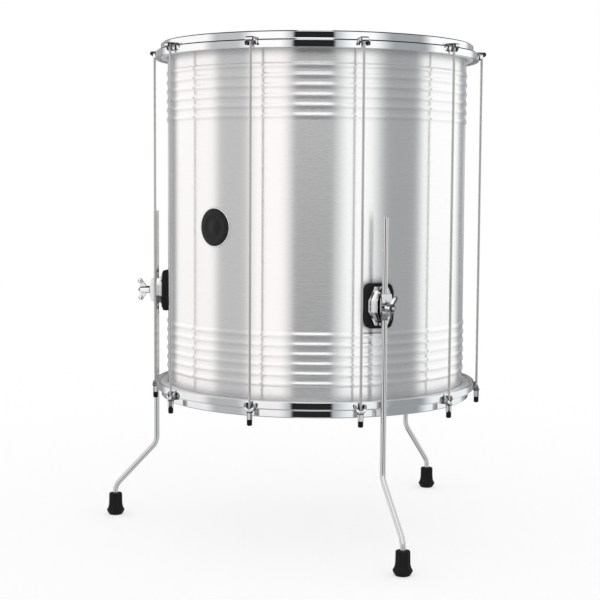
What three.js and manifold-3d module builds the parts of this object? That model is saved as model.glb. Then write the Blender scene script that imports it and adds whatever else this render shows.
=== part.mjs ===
// Free-standing floor surdo: beaded aluminium shell, two pressed hoops, tension rods with hooked
// claws, and three bent legs held in clamp brackets. Millimetres, +Z up, front of the drum towards -Y.

import * as THREE from 'three';
import { mergeVertices } from 'three/addons/utils/BufferGeometryUtils.js';
import Module from 'manifold-3d';

const wasm = await Module();
wasm.setup();

// Drum body
const shellRadius = 278;
const shellDepth = 628;
const shellWall = 1.5;
const groundClearance = 250;
const seatGap = 0.3;

// Beads rolled into the shell near each end
const beadCount = 6;
const beadPitch = 16.9;
const beadWidth = 11;
const beadHeight = 2.4;
const beadInset = 43.4;
const beadCrownShare = 0.4;

// Pressed steel hoops, an upright collar above a wider band
const hoopSheet = 2.4;
const hoopCollarOutset = 12.5;
const hoopLedgeDrop = 1.4;
const hoopBandHeight = 14.6;
const hoopEdgeRound = 1.2;
const rimAboveShell = 13;

// Drum heads, a film bonded into a flesh hoop that lies under the hoop's ledge
const filmThickness = 0.8;
const filmTurnRadius = 3;
const fleshHoopWidth = 19.4;
const fleshHoopHeight = 10.5;

// Tension rods and their hooked claws
const rodCount = 10;
const rodOutsideHoop = 5.5;
const rodDiameter = 4.6;
const rodThreadPastNut = 1;
const clawRoofWidth = 12;
const clawFootWidth = 20;
const clawRoofThickness = 3.4;
const clawReachDown = 10.6;
const clawArchWidth = 11;
const clawArchHeight = 8.2;
const clawOutside = 5;
const clawBulge = 3;
const rodHoleClearance = 0.35;

// Tuning nuts and the end caps of the rods
const nutAcrossFlats = 8.6;
const nutLength = 12;
const nutCollarDiameter = 11.4;
const nutCollarThickness = 1.5;
const capDiameter = 8.6;
const capLength = 10.4;
const capEndDiameter = 5.4;
const capRoundHeight = 2.4;

// Round badge, bent to the shell
const badgeDiameter = 66;
const badgeBelowMiddle = 5;
const badgeThickness = 1.3;
const badgeRimWidth = 2;
const badgeRecess = 0.4;

// Legs
const legAngles = [61.5, 181.5, 301.5];
const legDiameter = 10;
const legAboveBracket = 152;
const legAboveFoot = 3.3;
const legSplay = 83;
const legLeanDegrees = 43;
const legBendRadius = 30;
const legBendSteps = 4;

// Rubber feet
const footHeight = 42;
const footTopDiameter = 25;
const footFlareDiameter = 35;
const footFlareHeight = 10;
const footFlareLip = 3;
const footBaseDiameter = 26;
const footFluteCount = 10;
const footFluteDepth = 1.4;
const footSocketDepth = 24;

// Leg brackets: gasket, base block, eye bolt, jaw, wing nut and the plate inside the shell
const bracketAboveBeads = 7.1;
const gasketThickness = 15;
const gasketSideBorder = 2.5;
const gasketEndBorder = 4.5;
const gasketEndTaper = 5;
const gasketShoulderHeight = 48;
const gasketCornerRadius = 7;
const gasketBevel = 3.5;
const basePlateHeight = 68;
const basePlateWidth = 46;
const basePlateEndWidth = 26;
const basePlateThickness = 3;
const basePlateDraft = 1;
const baseWaistHeight = 20;
const flareWidth = 38;
const flareEndWidth = 22;
const flareHeight = 54;
const flareDepth = 3.4;
const blockRootWidth = 28;
const blockRootHeight = 50;
const blockWidth = 24;
const blockEndWidth = 17;
const blockHeight = 46;
const blockDepth = 10.2;
const clampGap = 5.7;
const jawWidth = 19;
const jawHeight = 45;
const jawThickness = 8;
const jawEndThickness = 4.6;
const jawFlatHeight = 20;
const screwEndDistance = 4;
const screwDiameter = 5;
const screwHeadDiameter = 8;
const screwHeadHeight = 2.6;
const screwHoleClearance = 0.4;
const screwTipPastPlate = 3;
const eyeDiameter = 17;
const eyeHeight = 5;
const stemDiameter = 6.3;
const stemSpare = 0.8;
const wingHubDiameter = 14;
const wingHubTipDiameter = 12;
const wingHubLength = 21;
const wingSpan = 43;
const wingBladeThickness = 3;
const wingRootStart = 7;
const wingRootHeight = 9;
const wingTipRadius = 5;
const wingTipLift = 4;
const wingTurns = [19, 35, 8];
const backingPlateEnd = 6;
const backingPlateWidth = 26;
const backingPlateThickness = 2;
const clampTravel = 2.54;

// Facets
const ringFacets = 40;
const rodFacets = 6;
const nutSides = 6;
const capFacets = 8;
const legFacets = 8;
const screwFacets = 6;
const stemFacets = 8;
const badgeFacets = 20;
const hubFacets = 12;
const collarFacets = 10;
const cutOverrun = 4;

// Finishes
const finishes = {
  brushedAluminium: { color: 0xc4c6c9, roughness: 0.34, metalness: 1 },
  chrome: { color: 0xd9dcdf, roughness: 0.08, metalness: 1 },
  drumFilm: { color: 0xe9e9e4, roughness: 0.45, metalness: 0 },
  blackBadge: { color: 0x0c0c0d, roughness: 0.25, metalness: 0 },
  blackRubber: { color: 0x141415, roughness: 0.7, metalness: 0 },
  plainSteel: { color: 0x9a9da1, roughness: 0.4, metalness: 1 },
};

const quarterTurn = Math.PI / 2;
const radians = THREE.MathUtils.degToRad;

// Levels and radii of the drum
const rimBottom = groundClearance;
const shellBottom = rimBottom + rimAboveShell;
const shellTop = shellBottom + shellDepth;
const rimTop = shellTop + rimAboveShell;
const innerWallRadius = shellRadius - shellWall;
const badgeHeight = (shellBottom + shellTop) / 2 - badgeBelowMiddle;
const lowerBeadsTop = shellBottom + beadInset + (beadCount - 1) * beadPitch + beadWidth / 2;

// Head and hoop, from the shell outwards
const headInside = shellRadius + seatGap * 2;
const fleshHoopRadius = headInside + fleshHoopWidth;
const hoopCollarRadius = shellRadius + hoopCollarOutset;
const hoopCollarHeight = rimAboveShell + hoopLedgeDrop;
const hoopBandRadius = fleshHoopRadius + seatGap * 2 + hoopSheet;
const rodCircleRadius = hoopBandRadius + rodOutsideHoop;
const rodRadius = rodDiameter / 2;

const surdo = new THREE.Group();

// Geometry helpers

function closedGeometry(geometry) {
  geometry.deleteAttribute('normal');
  geometry.deleteAttribute('uv');
  return mergeVertices(geometry);
}

function solidOf(geometry) {
  const closed = closedGeometry(geometry.clone());
  const mesh = new wasm.Mesh({
    numProp: 3,
    vertProperties: new Float32Array(closed.attributes.position.array),
    triVerts: new Uint32Array(closed.index.array),
  });
  const solid = new wasm.Manifold(mesh);
  return solid.volume() < 0 ? new wasm.Manifold(flipped(mesh)) : solid;
}

function flipped(mesh) {
  const triVerts = new Uint32Array(mesh.triVerts);
  for (let i = 0; i < triVerts.length; i += 3) {
    [triVerts[i], triVerts[i + 1]] = [triVerts[i + 1], triVerts[i]];
  }
  return new wasm.Mesh({ numProp: 3, vertProperties: mesh.vertProperties, triVerts });
}

function geometryOf(solid) {
  const mesh = solid.getMesh();
  const geometry = new THREE.BufferGeometry();
  geometry.setAttribute('position', new THREE.BufferAttribute(new Float32Array(mesh.vertProperties), 3));
  geometry.setIndex(new THREE.BufferAttribute(new Uint32Array(mesh.triVerts), 1));
  return geometry;
}

// A profile of [radius, height] points turned about the vertical axis
function turned(profile, facets) {
  const points = profile.map(([radius, height]) => new THREE.Vector2(radius, height));
  return new THREE.LatheGeometry(points, facets).rotateX(quarterTurn);
}

function turnedRing(profile, facets) {
  return turned([...profile, profile[0]], facets);
}

// An upright round bar with its middle at the given place
function uprightBar(radius, bottom, top, facets, distance = 0) {
  const bar = new THREE.CylinderGeometry(radius, radius, top - bottom, facets);
  return bar.rotateX(quarterTurn).translate(0, -distance, (top + bottom) / 2);
}

// A round bar that points outwards from the drum's axis towards -Y
function outwardBar(innerRadius, outerRadius, from, to, facets, height) {
  const bar = new THREE.CylinderGeometry(innerRadius, outerRadius, to - from, facets);
  return bar.translate(0, -(from + to) / 2, height);
}

// A flat outline seen from outside the drum, given depth outwards from a distance to the axis
function outwardSlab(shape, from, to, height, curveSegments = 4) {
  const slab = new THREE.ExtrudeGeometry(shape, { depth: to - from, bevelEnabled: false, curveSegments });
  return slab.rotateX(quarterTurn).translate(0, -from, height);
}

// A flat outline seen from the side, with x as minus the distance from the axis, given a width across
function sideSlab(shape, width, curveSegments = 4) {
  const slab = new THREE.ExtrudeGeometry(shape, { depth: width, bevelEnabled: false, curveSegments });
  return slab.translate(0, 0, -width / 2).rotateX(quarterTurn).rotateZ(quarterTurn);
}

function sideOutline(points) {
  return shapeOf(points.map(([distance, height]) => [-distance, height]));
}

function shapeOf(points) {
  return new THREE.Shape(points.map(([x, y]) => new THREE.Vector2(x, y)));
}

// Rings with as many points each, joined one after another and closed at both ends
function joinedRings(rings) {
  const count = rings[0].length;
  const triangles = [];
  for (let ring = 0; ring + 1 < rings.length; ring += 1) {
    for (let i = 0; i < count; i += 1) {
      const a = ring * count + i;
      const b = ring * count + ((i + 1) % count);
      triangles.push(a, a + count, b, b, a + count, b + count);
    }
  }
  const last = (rings.length - 1) * count;
  for (let i = 1; i + 1 < count; i += 1) {
    triangles.push(0, i, i + 1, last, last + i + 1, last + i);
  }
  const geometry = new THREE.BufferGeometry();
  geometry.setAttribute('position', new THREE.Float32BufferAttribute(rings.flat(2), 3));
  geometry.setIndex(triangles);
  return geometry;
}

// A flat outline seen from outside, as a ring of points at a distance from the drum's axis
function outlineRing(points, distance, height) {
  return points.map(([across, up]) => [across, -distance, height + up]);
}

// Corners of a bar-shaped outline that narrows from its shoulders to its ends
function pointedCorners(width, endWidth, height, shoulderHeight) {
  const right = [
    [endWidth / 2, -height / 2],
    [width / 2, -shoulderHeight / 2],
    [width / 2, shoulderHeight / 2],
    [endWidth / 2, height / 2],
  ];
  const left = right.map(([x, y]) => [-x, y]).reverse();
  return [...right, ...left];
}

// The same corners, each cut back by a reach along both of its edges and rounded by one point more
function roundedCorners(corners, reach) {
  return corners.flatMap(([x, y], i) => {
    const before = corners[(i + corners.length - 1) % corners.length];
    const after = corners[(i + 1) % corners.length];
    const towards = ([toX, toY]) => {
      const share = reach / Math.hypot(toX - x, toY - y);
      return [x + (toX - x) * share, y + (toY - y) * share];
    };
    const start = towards(before);
    const end = towards(after);
    const middle = [(start[0] + end[0] + 2 * x) / 4, (start[1] + end[1] + 2 * y) / 4];
    return [start, middle, end];
  });
}

function material(finish) {
  return new THREE.MeshStandardMaterial(finishes[finish]);
}

function place(name, geometry, finish, degrees = 0) {
  const mesh = new THREE.Mesh(geometry, material(finish));
  mesh.name = name;
  mesh.rotation.z = radians(degrees);
  surdo.add(mesh);
  return mesh;
}

function twoDigits(number) {
  return String(number).padStart(2, '0');
}

// Shell

function beadProfile(centre) {
  const half = beadWidth / 2;
  const crownHalf = half * beadCrownShare;
  return [
    [shellRadius, centre - half],
    [shellRadius + beadHeight, centre - crownHalf],
    [shellRadius + beadHeight, centre + crownHalf],
    [shellRadius, centre + half],
  ];
}

function beadCentres() {
  const centres = [];
  for (let bead = 0; bead < beadCount; bead += 1) {
    centres.push(beadInset + bead * beadPitch);
  }
  return centres;
}

function shell() {
  const lower = beadCentres().map((inset) => shellBottom + inset);
  const upper = beadCentres().map((inset) => shellTop - inset).reverse();
  const outside = [...lower, ...upper].flatMap(beadProfile);
  const profile = [
    [innerWallRadius, shellBottom],
    [shellRadius, shellBottom],
    ...outside,
    [shellRadius, shellTop],
    [innerWallRadius, shellTop],
  ];
  let body = solidOf(turnedRing(profile, ringFacets));
  for (const angle of legAngles) {
    for (const height of screwHeights()) {
      const hole = screwHole(height, innerWallRadius - cutOverrun, shellRadius + cutOverrun);
      body = body.subtract(solidOf(hole.rotateZ(radians(angle))));
    }
  }
  return geometryOf(body);
}

// Hoops, drawn for the top and turned over for the bottom

function levelFromRim(distance, end) {
  return end > 0 ? rimTop - distance : rimBottom + distance;
}

function hoop(end) {
  const ledge = hoopCollarHeight;
  const foot = hoopCollarHeight + hoopBandHeight;
  const section = [
    [hoopCollarRadius - hoopEdgeRound, 0],
    [hoopCollarRadius, hoopEdgeRound],
    [hoopCollarRadius, ledge],
    [hoopBandRadius - hoopEdgeRound, ledge],
    [hoopBandRadius, ledge + hoopEdgeRound],
    [hoopBandRadius, foot],
    [hoopBandRadius - hoopSheet, foot],
    [hoopBandRadius - hoopSheet, ledge + hoopSheet],
    [hoopCollarRadius - hoopSheet, ledge + hoopSheet],
    [hoopCollarRadius - hoopSheet, hoopEdgeRound],
  ];
  const profile = section.map(([radius, distance]) => [radius, levelFromRim(distance, end)]);
  return geometryOf(solidOf(turnedRing(profile, ringFacets)));
}

// Heads

function head(end) {
  const filmUnder = rimAboveShell - seatGap;
  const filmOver = filmUnder - filmThickness;
  const fleshTop = hoopCollarHeight + hoopSheet + seatGap;
  const fleshBottom = fleshTop + fleshHoopHeight;
  const skirtOutside = headInside + filmThickness;
  const section = [
    [0, filmOver],
    [skirtOutside - filmTurnRadius, filmOver],
    [skirtOutside, filmOver + filmTurnRadius],
    [skirtOutside, fleshTop],
    [fleshHoopRadius, fleshTop],
    [fleshHoopRadius, fleshBottom],
    [headInside, fleshBottom],
    [headInside, filmUnder],
    [0, filmUnder],
  ];
  const profile = section.map(([radius, distance]) => [radius, levelFromRim(distance, end)]);
  return geometryOf(solidOf(turned(profile, ringFacets)));
}

// Claws: an arch seen from outside, hooked inwards over the hoop's ledge

function clawOutline() {
  const outline = new THREE.Shape();
  outline.moveTo(clawArchWidth / 2, -clawReachDown);
  outline.lineTo(clawFootWidth / 2, -clawReachDown);
  outline.quadraticCurveTo(clawFootWidth / 2, -clawRoofThickness, clawRoofWidth / 2, clawRoofThickness);
  outline.lineTo(-clawRoofWidth / 2, clawRoofThickness);
  outline.quadraticCurveTo(-clawFootWidth / 2, -clawRoofThickness, -clawFootWidth / 2, -clawReachDown);
  outline.lineTo(-clawArchWidth / 2, -clawReachDown);
  outline.absellipse(0, -clawReachDown, clawArchWidth / 2, clawArchHeight, Math.PI, 0, true);
  return outline;
}

function clawSolid(end) {
  const ledge = levelFromRim(hoopCollarHeight, end);
  const from = hoopCollarRadius + seatGap * 2;
  const to = rodCircleRadius + clawOutside;
  const claw = solidOf(outwardSlab(clawOutline(), from, to, 0, 2));
  const underLedge = shapeOf([
    [-clawFootWidth, seatGap],
    [clawFootWidth, seatGap],
    [clawFootWidth, -clawReachDown - cutOverrun],
    [-clawFootWidth, -clawReachDown - cutOverrun],
  ]);
  const bandSpace = outwardSlab(underLedge, from - cutOverrun, hoopBandRadius + seatGap * 2, 0);
  const cheek = sideSlab(sideOutline([
    [to + cutOverrun, clawRoofThickness + cutOverrun],
    [to - clawBulge, clawRoofThickness + cutOverrun],
    [to - clawBulge, clawRoofThickness],
    [to, 0],
    [to + cutOverrun, 0],
  ]), clawFootWidth * 2);
  const hooked = claw.subtract(solidOf(bandSpace)).subtract(solidOf(cheek));
  const upright = end > 0 ? hooked : hooked.scale([1, 1, -1]);
  return upright.translate([0, 0, ledge]);
}

// Levels along a tension rod
const lowerLedge = levelFromRim(hoopCollarHeight, -1);
const upperLedge = levelFromRim(hoopCollarHeight, 1);
const nutTop = lowerLedge - clawRoofThickness - seatGap;
const nutBottom = nutTop - nutCollarThickness - nutLength;
const capTop = nutBottom - seatGap;
const capBottom = capTop - capLength;

function endCap() {
  const capRadius = capDiameter / 2;
  return turned([
    [0, capBottom],
    [capEndDiameter / 2, capBottom],
    [capRadius, capBottom + capRoundHeight],
    [capRadius, capTop],
    [0, capTop],
  ], capFacets).translate(0, -rodCircleRadius, 0);
}

function hookRod() {
  const rod = uprightBar(rodRadius, capTop - rodThreadPastNut, upperLedge, rodFacets, rodCircleRadius);
  return geometryOf(clawSolid(1).add(solidOf(rod)).add(solidOf(endCap())));
}

function bottomClaw() {
  const hole = uprightBar(
    rodRadius + rodHoleClearance,
    nutTop - cutOverrun,
    lowerLedge + clawReachDown,
    rodFacets,
    rodCircleRadius,
  );
  return geometryOf(clawSolid(-1).subtract(solidOf(hole)));
}

function tuningNut() {
  const cornerRadius = nutAcrossFlats / 2 / Math.cos(Math.PI / nutSides);
  const body = uprightBar(cornerRadius, nutBottom, nutTop - nutCollarThickness, nutSides, rodCircleRadius);
  const collar = uprightBar(nutCollarDiameter / 2, nutTop - nutCollarThickness, nutTop, collarFacets, rodCircleRadius);
  const bore = uprightBar(
    rodRadius + rodHoleClearance,
    nutBottom - cutOverrun,
    nutTop + cutOverrun,
    rodFacets,
    rodCircleRadius,
  );
  return geometryOf(solidOf(body).add(solidOf(collar)).subtract(solidOf(bore)));
}

// Badge: a round plate cut from a ring that lies on the shell

function badge() {
  const inner = shellRadius + seatGap;
  const outer = inner + badgeThickness;
  const half = badgeDiameter / 2 + cutOverrun;
  const ring = (from, to) => solidOf(turnedRing([
    [from, badgeHeight - half],
    [to, badgeHeight - half],
    [to, badgeHeight + half],
    [from, badgeHeight + half],
  ], ringFacets * 2));
  const disc = (diameter) => solidOf(outwardBar(
    diameter / 2,
    diameter / 2,
    inner - badgeDiameter / 2,
    outer + badgeDiameter / 2,
    badgeFacets,
    badgeHeight,
  ));
  const face = disc(badgeDiameter - badgeRimWidth * 2).intersect(ring(outer - badgeRecess, outer + cutOverrun));
  return geometryOf(disc(badgeDiameter).intersect(ring(inner, outer)).subtract(face));
}

// Bracket stack, from the shell outwards
const gasketFront = shellRadius + gasketThickness;
const plateBack = gasketFront + seatGap;
const plateFront = plateBack + basePlateThickness;
const blockFront = plateFront + blockDepth;
const legCircleRadius = blockFront + clampGap / 2;
const jawBack = legCircleRadius + clampGap / 2;
const jawFront = jawBack + jawThickness;
const hubBack = jawFront + seatGap;
const hubFront = hubBack + wingHubLength;
const stemEnd = hubFront + clampTravel + stemSpare;
const legRadius = legDiameter / 2;
const channelRadius = legRadius + seatGap;
const gasketWidth = basePlateWidth + 2 * gasketSideBorder;
const gasketHeight = basePlateHeight + 2 * gasketEndBorder;
const bracketHeight = lowerBeadsTop + bracketAboveBeads + gasketHeight / 2;
const screwSpacing = basePlateHeight - 2 * screwEndDistance;
const backingPlateHeight = screwSpacing + 2 * backingPlateEnd;
const plateInsideFront = Math.sqrt(innerWallRadius ** 2 - backingPlateWidth ** 2 / 4) - facetSag() - seatGap;
const plateInsideBack = plateInsideFront - backingPlateThickness;

function facetSag() {
  return innerWallRadius * (1 - Math.cos(Math.PI / ringFacets));
}

// Legs: a round bar bent outwards and back to upright
const legLean = radians(legLeanDegrees);
const legBendOut = legBendRadius * (1 - Math.cos(legLean));
const legBendDown = legBendRadius * Math.sin(legLean);
const legSlantDown = (legSplay - 2 * legBendOut) / Math.tan(legLean);
const lowerBendBottom = footHeight + legAboveFoot;
const upperBendTop = lowerBendBottom + 2 * legBendDown + legSlantDown;
const legTopHeight = bracketHeight + legAboveBracket;

function legStations() {
  const stations = [{ out: 0, height: legTopHeight, lean: 0 }];
  for (let step = 0; step <= legBendSteps; step += 1) {
    const turn = (legLean * step) / legBendSteps;
    stations.push({
      out: legBendRadius * (1 - Math.cos(turn)),
      height: upperBendTop - legBendRadius * Math.sin(turn),
      lean: turn,
    });
  }
  for (let step = 0; step <= legBendSteps; step += 1) {
    const turn = legLean * (1 - step / legBendSteps);
    stations.push({
      out: legSplay - legBendRadius * (1 - Math.cos(turn)),
      height: lowerBendBottom + legBendRadius * Math.sin(turn),
      lean: turn,
    });
  }
  stations.push({ out: legSplay, height: footHeight - footSocketDepth + seatGap, lean: 0 });
  return stations;
}

// A ring of points square to the bar at each station
function bentBar(stations, radius, facets) {
  return joinedRings(stations.map(({ out, height, lean }) => {
    const ring = [];
    for (let side = 0; side < facets; side += 1) {
      const angle = (2 * Math.PI * side) / facets;
      const along = radius * Math.cos(angle);
      const distance = legCircleRadius + out + along * Math.cos(lean);
      ring.push([radius * Math.sin(angle), -distance, height + along * Math.sin(lean)]);
    }
    return ring;
  }));
}

function leg() {
  return geometryOf(solidOf(bentBar(legStations(), legRadius, legFacets)));
}

// Rubber foot with upright flutes and a socket for the leg

function foot() {
  const socketRadius = legRadius + seatGap;
  const facets = footFluteCount * 2;
  const profile = [
    [0, 0],
    [footBaseDiameter / 2, 0],
    [footFlareDiameter / 2, footFlareHeight - footFlareLip],
    [footFlareDiameter / 2, footFlareHeight],
    [footTopDiameter / 2, footHeight],
    [socketRadius, footHeight],
    [socketRadius, footHeight - footSocketDepth],
    [0, footHeight - footSocketDepth],
  ];
  const geometry = turned(profile, facets);
  const position = geometry.attributes.position;
  for (let i = 0; i < position.count; i += 1) {
    const x = position.getX(i);
    const y = position.getY(i);
    const radius = Math.hypot(x, y);
    const column = Math.round((Math.atan2(y, x) * facets) / (2 * Math.PI));
    const grooved = Math.abs(column) % 2 === 1 && radius > (socketRadius + footTopDiameter / 2) / 2;
    if (grooved && position.getZ(i) > 0) {
      const share = (radius - footFluteDepth) / radius;
      position.setX(i, x * share);
      position.setY(i, y * share);
    }
  }
  return geometryOf(solidOf(geometry.translate(0, -(legCircleRadius + legSplay), 0)));
}

// Leg bracket

function screwHeights() {
  return [bracketHeight - screwSpacing / 2, bracketHeight + screwSpacing / 2];
}

function screwHole(height, from, to) {
  const radius = screwDiameter / 2 + screwHoleClearance;
  return outwardBar(radius, radius, from, to, screwFacets, height);
}

function withScrewHoles(solid, from, to) {
  return screwHeights().reduce((rest, height) => rest.subtract(solidOf(screwHole(height, from, to))), solid);
}

function roundedOutline(width, height, radius) {
  const right = width / 2 - radius;
  const top = height / 2 - radius;
  const outline = new THREE.Shape();
  outline.absarc(right, -top, radius, -quarterTurn, 0, false);
  outline.absarc(right, top, radius, 0, quarterTurn, false);
  outline.absarc(-right, top, radius, quarterTurn, 2 * quarterTurn, false);
  outline.absarc(-right, -top, radius, 2 * quarterTurn, 3 * quarterTurn, false);
  return outline;
}

// A thick pad, hollowed to the shell and bevelled round its outer face
function bracketGasket() {
  const slabBack = innerWallRadius - cutOverrun;
  const corners = (inset) => roundedCorners(pointedCorners(
    gasketWidth - 2 * inset,
    gasketWidth - 2 * gasketEndTaper - 2 * inset,
    gasketHeight - 2 * inset,
    gasketShoulderHeight,
  ), gasketCornerRadius);
  const slab = solidOf(joinedRings([
    outlineRing(corners(0), slabBack, bracketHeight),
    outlineRing(corners(0), gasketFront - gasketBevel, bracketHeight),
    outlineRing(corners(gasketBevel), gasketFront, bracketHeight),
  ]));
  const half = gasketHeight / 2 + cutOverrun;
  const drum = solidOf(turned([
    [0, bracketHeight - half],
    [shellRadius + seatGap, bracketHeight - half],
    [shellRadius + seatGap, bracketHeight + half],
    [0, bracketHeight + half],
  ], ringFacets * 2));
  return geometryOf(withScrewHoles(slab.subtract(drum), slabBack, gasketFront + cutOverrun));
}

function legChannel() {
  const half = blockHeight / 2 + cutOverrun;
  return uprightBar(channelRadius, bracketHeight - half, bracketHeight + half, legFacets * 2, legCircleRadius);
}

function eyeSlot() {
  const half = eyeHeight / 2 + seatGap;
  const radius = eyeDiameter / 2 + seatGap;
  return uprightBar(radius, bracketHeight - half, bracketHeight + half, hubFacets, legCircleRadius);
}

function screw(height) {
  const radius = screwDiameter / 2;
  const tip = plateInsideBack - screwTipPastPlate;
  const shank = solidOf(outwardBar(radius, radius, tip, plateFront, screwFacets, height));
  const headBase = screwHeadDiameter / 2;
  const headTop = plateFront + screwHeadHeight;
  const headEnd = headBase - screwHeadHeight / 2;
  const top = solidOf(outwardBar(headBase, headEnd, plateFront, headTop, screwFacets, height));
  return shank.add(top);
}

// A drafted plate, a flare and a block that narrows towards the leg, with a groove and a slot for the eye
function bracketBase() {
  const ring = (width, endWidth, height, distance) => outlineRing(
    pointedCorners(width, endWidth, height, baseWaistHeight),
    distance,
    bracketHeight,
  );
  const draft = 2 * basePlateDraft;
  const body = solidOf(joinedRings([
    ring(basePlateWidth, basePlateEndWidth, basePlateHeight, plateBack),
    ring(basePlateWidth - draft, basePlateEndWidth - draft, basePlateHeight - draft, plateFront),
    ring(flareWidth, flareEndWidth, flareHeight, plateFront),
    ring(blockRootWidth, blockEndWidth, blockRootHeight, plateFront + flareDepth),
    ring(blockWidth, blockEndWidth, blockHeight, blockFront),
  ]));
  const clamped = body.subtract(solidOf(legChannel())).subtract(solidOf(eyeSlot()));
  return geometryOf(screwHeights().reduce((rest, height) => rest.add(screw(height)), clamped));
}

function backingPlate() {
  const outline = roundedOutline(backingPlateWidth, backingPlateHeight, backingPlateWidth / 4);
  const plate = solidOf(outwardSlab(outline, plateInsideBack, plateInsideFront, bracketHeight, 2));
  return geometryOf(withScrewHoles(plate, plateInsideBack - cutOverrun, plateInsideFront + cutOverrun));
}

function eyeBolt() {
  const half = eyeHeight / 2;
  const bottom = bracketHeight - half;
  const top = bracketHeight + half;
  const ring = solidOf(uprightBar(eyeDiameter / 2, bottom, top, hubFacets, legCircleRadius));
  const radius = stemDiameter / 2;
  const stem = outwardBar(radius, radius, legCircleRadius + legRadius, stemEnd, stemFacets, bracketHeight);
  return geometryOf(ring.add(solidOf(stem)).subtract(solidOf(legChannel())));
}

function stemBore(from, to) {
  const radius = stemDiameter / 2 + seatGap;
  return solidOf(outwardBar(radius, radius, from, to, stemFacets, bracketHeight));
}

function clampJaw() {
  const half = jawHeight / 2;
  const flatHalf = jawFlatHeight / 2;
  const jaw = solidOf(sideSlab(sideOutline([
    [jawBack, bracketHeight - half],
    [jawBack + jawEndThickness, bracketHeight - half],
    [jawFront, bracketHeight - flatHalf],
    [jawFront, bracketHeight + flatHalf],
    [jawBack + jawEndThickness, bracketHeight + half],
    [jawBack, bracketHeight + half],
  ]), jawWidth));
  const opened = jaw.subtract(solidOf(legChannel())).subtract(solidOf(eyeSlot()));
  return geometryOf(opened.subtract(stemBore(legCircleRadius, jawFront + cutOverrun)));
}

// Wing nut: a hub with two blades whose rounded tips lean outwards

function wingBlade(side) {
  const rootBack = hubBack + wingRootStart;
  const tipMiddle = wingSpan / 2 - wingTipRadius;
  const tipCentre = hubFront + wingTipLift - wingTipRadius;
  const outline = new THREE.Shape();
  outline.moveTo(-rootBack, 0);
  outline.lineTo(-rootBack, side * wingHubTipDiameter / 2);
  outline.lineTo(-tipCentre + wingTipRadius, side * tipMiddle);
  outline.absarc(-tipCentre, side * tipMiddle, wingTipRadius, 0, side * Math.PI, side < 0);
  outline.lineTo(-rootBack - wingRootHeight, 0);
  return solidOf(sideSlab(outline, wingBladeThickness).translate(0, 0, bracketHeight));
}

function wingNut(turnDegrees) {
  const hub = solidOf(outwardBar(
    wingHubDiameter / 2,
    wingHubTipDiameter / 2,
    hubBack,
    hubFront,
    hubFacets,
    bracketHeight,
  ));
  const bore = stemBore(hubBack - cutOverrun, hubFront + wingTipLift + cutOverrun);
  const nut = hub.add(wingBlade(1)).add(wingBlade(-1)).subtract(bore);
  const centred = nut.translate([0, 0, -bracketHeight]).rotate([0, turnDegrees, 0]);
  return geometryOf(centred.translate([0, 0, bracketHeight]));
}

// Assembly

function addDrum() {
  place('shell', shell(), 'brushedAluminium');
  place('top_hoop', hoop(1), 'chrome');
  place('bottom_hoop', hoop(-1), 'chrome');
  place('batter_head', head(1), 'drumFilm');
  place('resonant_head', head(-1), 'drumFilm');
  place('badge', badge(), 'blackBadge');
}

function addTensioning() {
  const rod = hookRod();
  const claw = bottomClaw();
  const nut = tuningNut();
  for (let i = 0; i < rodCount; i += 1) {
    const degrees = (360 / rodCount) * (i + 0.5);
    const number = twoDigits(i + 1);
    place(`hook_rod_${number}`, rod, 'chrome', degrees);
    place(`bottom_claw_${number}`, claw, 'chrome', degrees);
    place(`tuning_nut_${number}`, nut, 'chrome', degrees);
  }
}

function addLegs() {
  const barGeometry = leg();
  const footGeometry = foot();
  const gasketGeometry = bracketGasket();
  const baseGeometry = bracketBase();
  const plateGeometry = backingPlate();
  const eyeGeometry = eyeBolt();
  const jawGeometry = clampJaw();
  legAngles.forEach((degrees, i) => {
    const number = i + 1;
    place(`leg_${number}`, barGeometry, 'chrome', degrees);
    place(`foot_${number}`, footGeometry, 'blackRubber', degrees);
    place(`bracket_gasket_${number}`, gasketGeometry, 'blackRubber', degrees);
    place(`bracket_base_${number}`, baseGeometry, 'chrome', degrees);
    place(`backing_plate_${number}`, plateGeometry, 'plainSteel', degrees);
    place(`eye_bolt_${number}`, eyeGeometry, 'chrome', degrees);
    place(`clamp_jaw_${number}`, jawGeometry, 'chrome', degrees);
    place(`wing_nut_${number}`, wingNut(wingTurns[i]), 'chrome', degrees);
  });
}

// The origin lies on the floor under the middle of the whole outline
function centreOnFloor() {
  surdo.updateMatrixWorld(true);
  const middle = new THREE.Box3().setFromObject(surdo, true).getCenter(new THREE.Vector3());
  surdo.position.set(-middle.x, -middle.y, 0);
}

addDrum();
addTensioning();
addLegs();
centreOnFloor();

export default surdo;
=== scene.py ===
"""Looks for the floor surdo: brushed beaded shell, chrome hoops, tension rods, clamped legs."""

from math import cos, hypot, pi, radians, sin, tan

import bmesh
import bpy
from mathutils import Matrix, Vector


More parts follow.
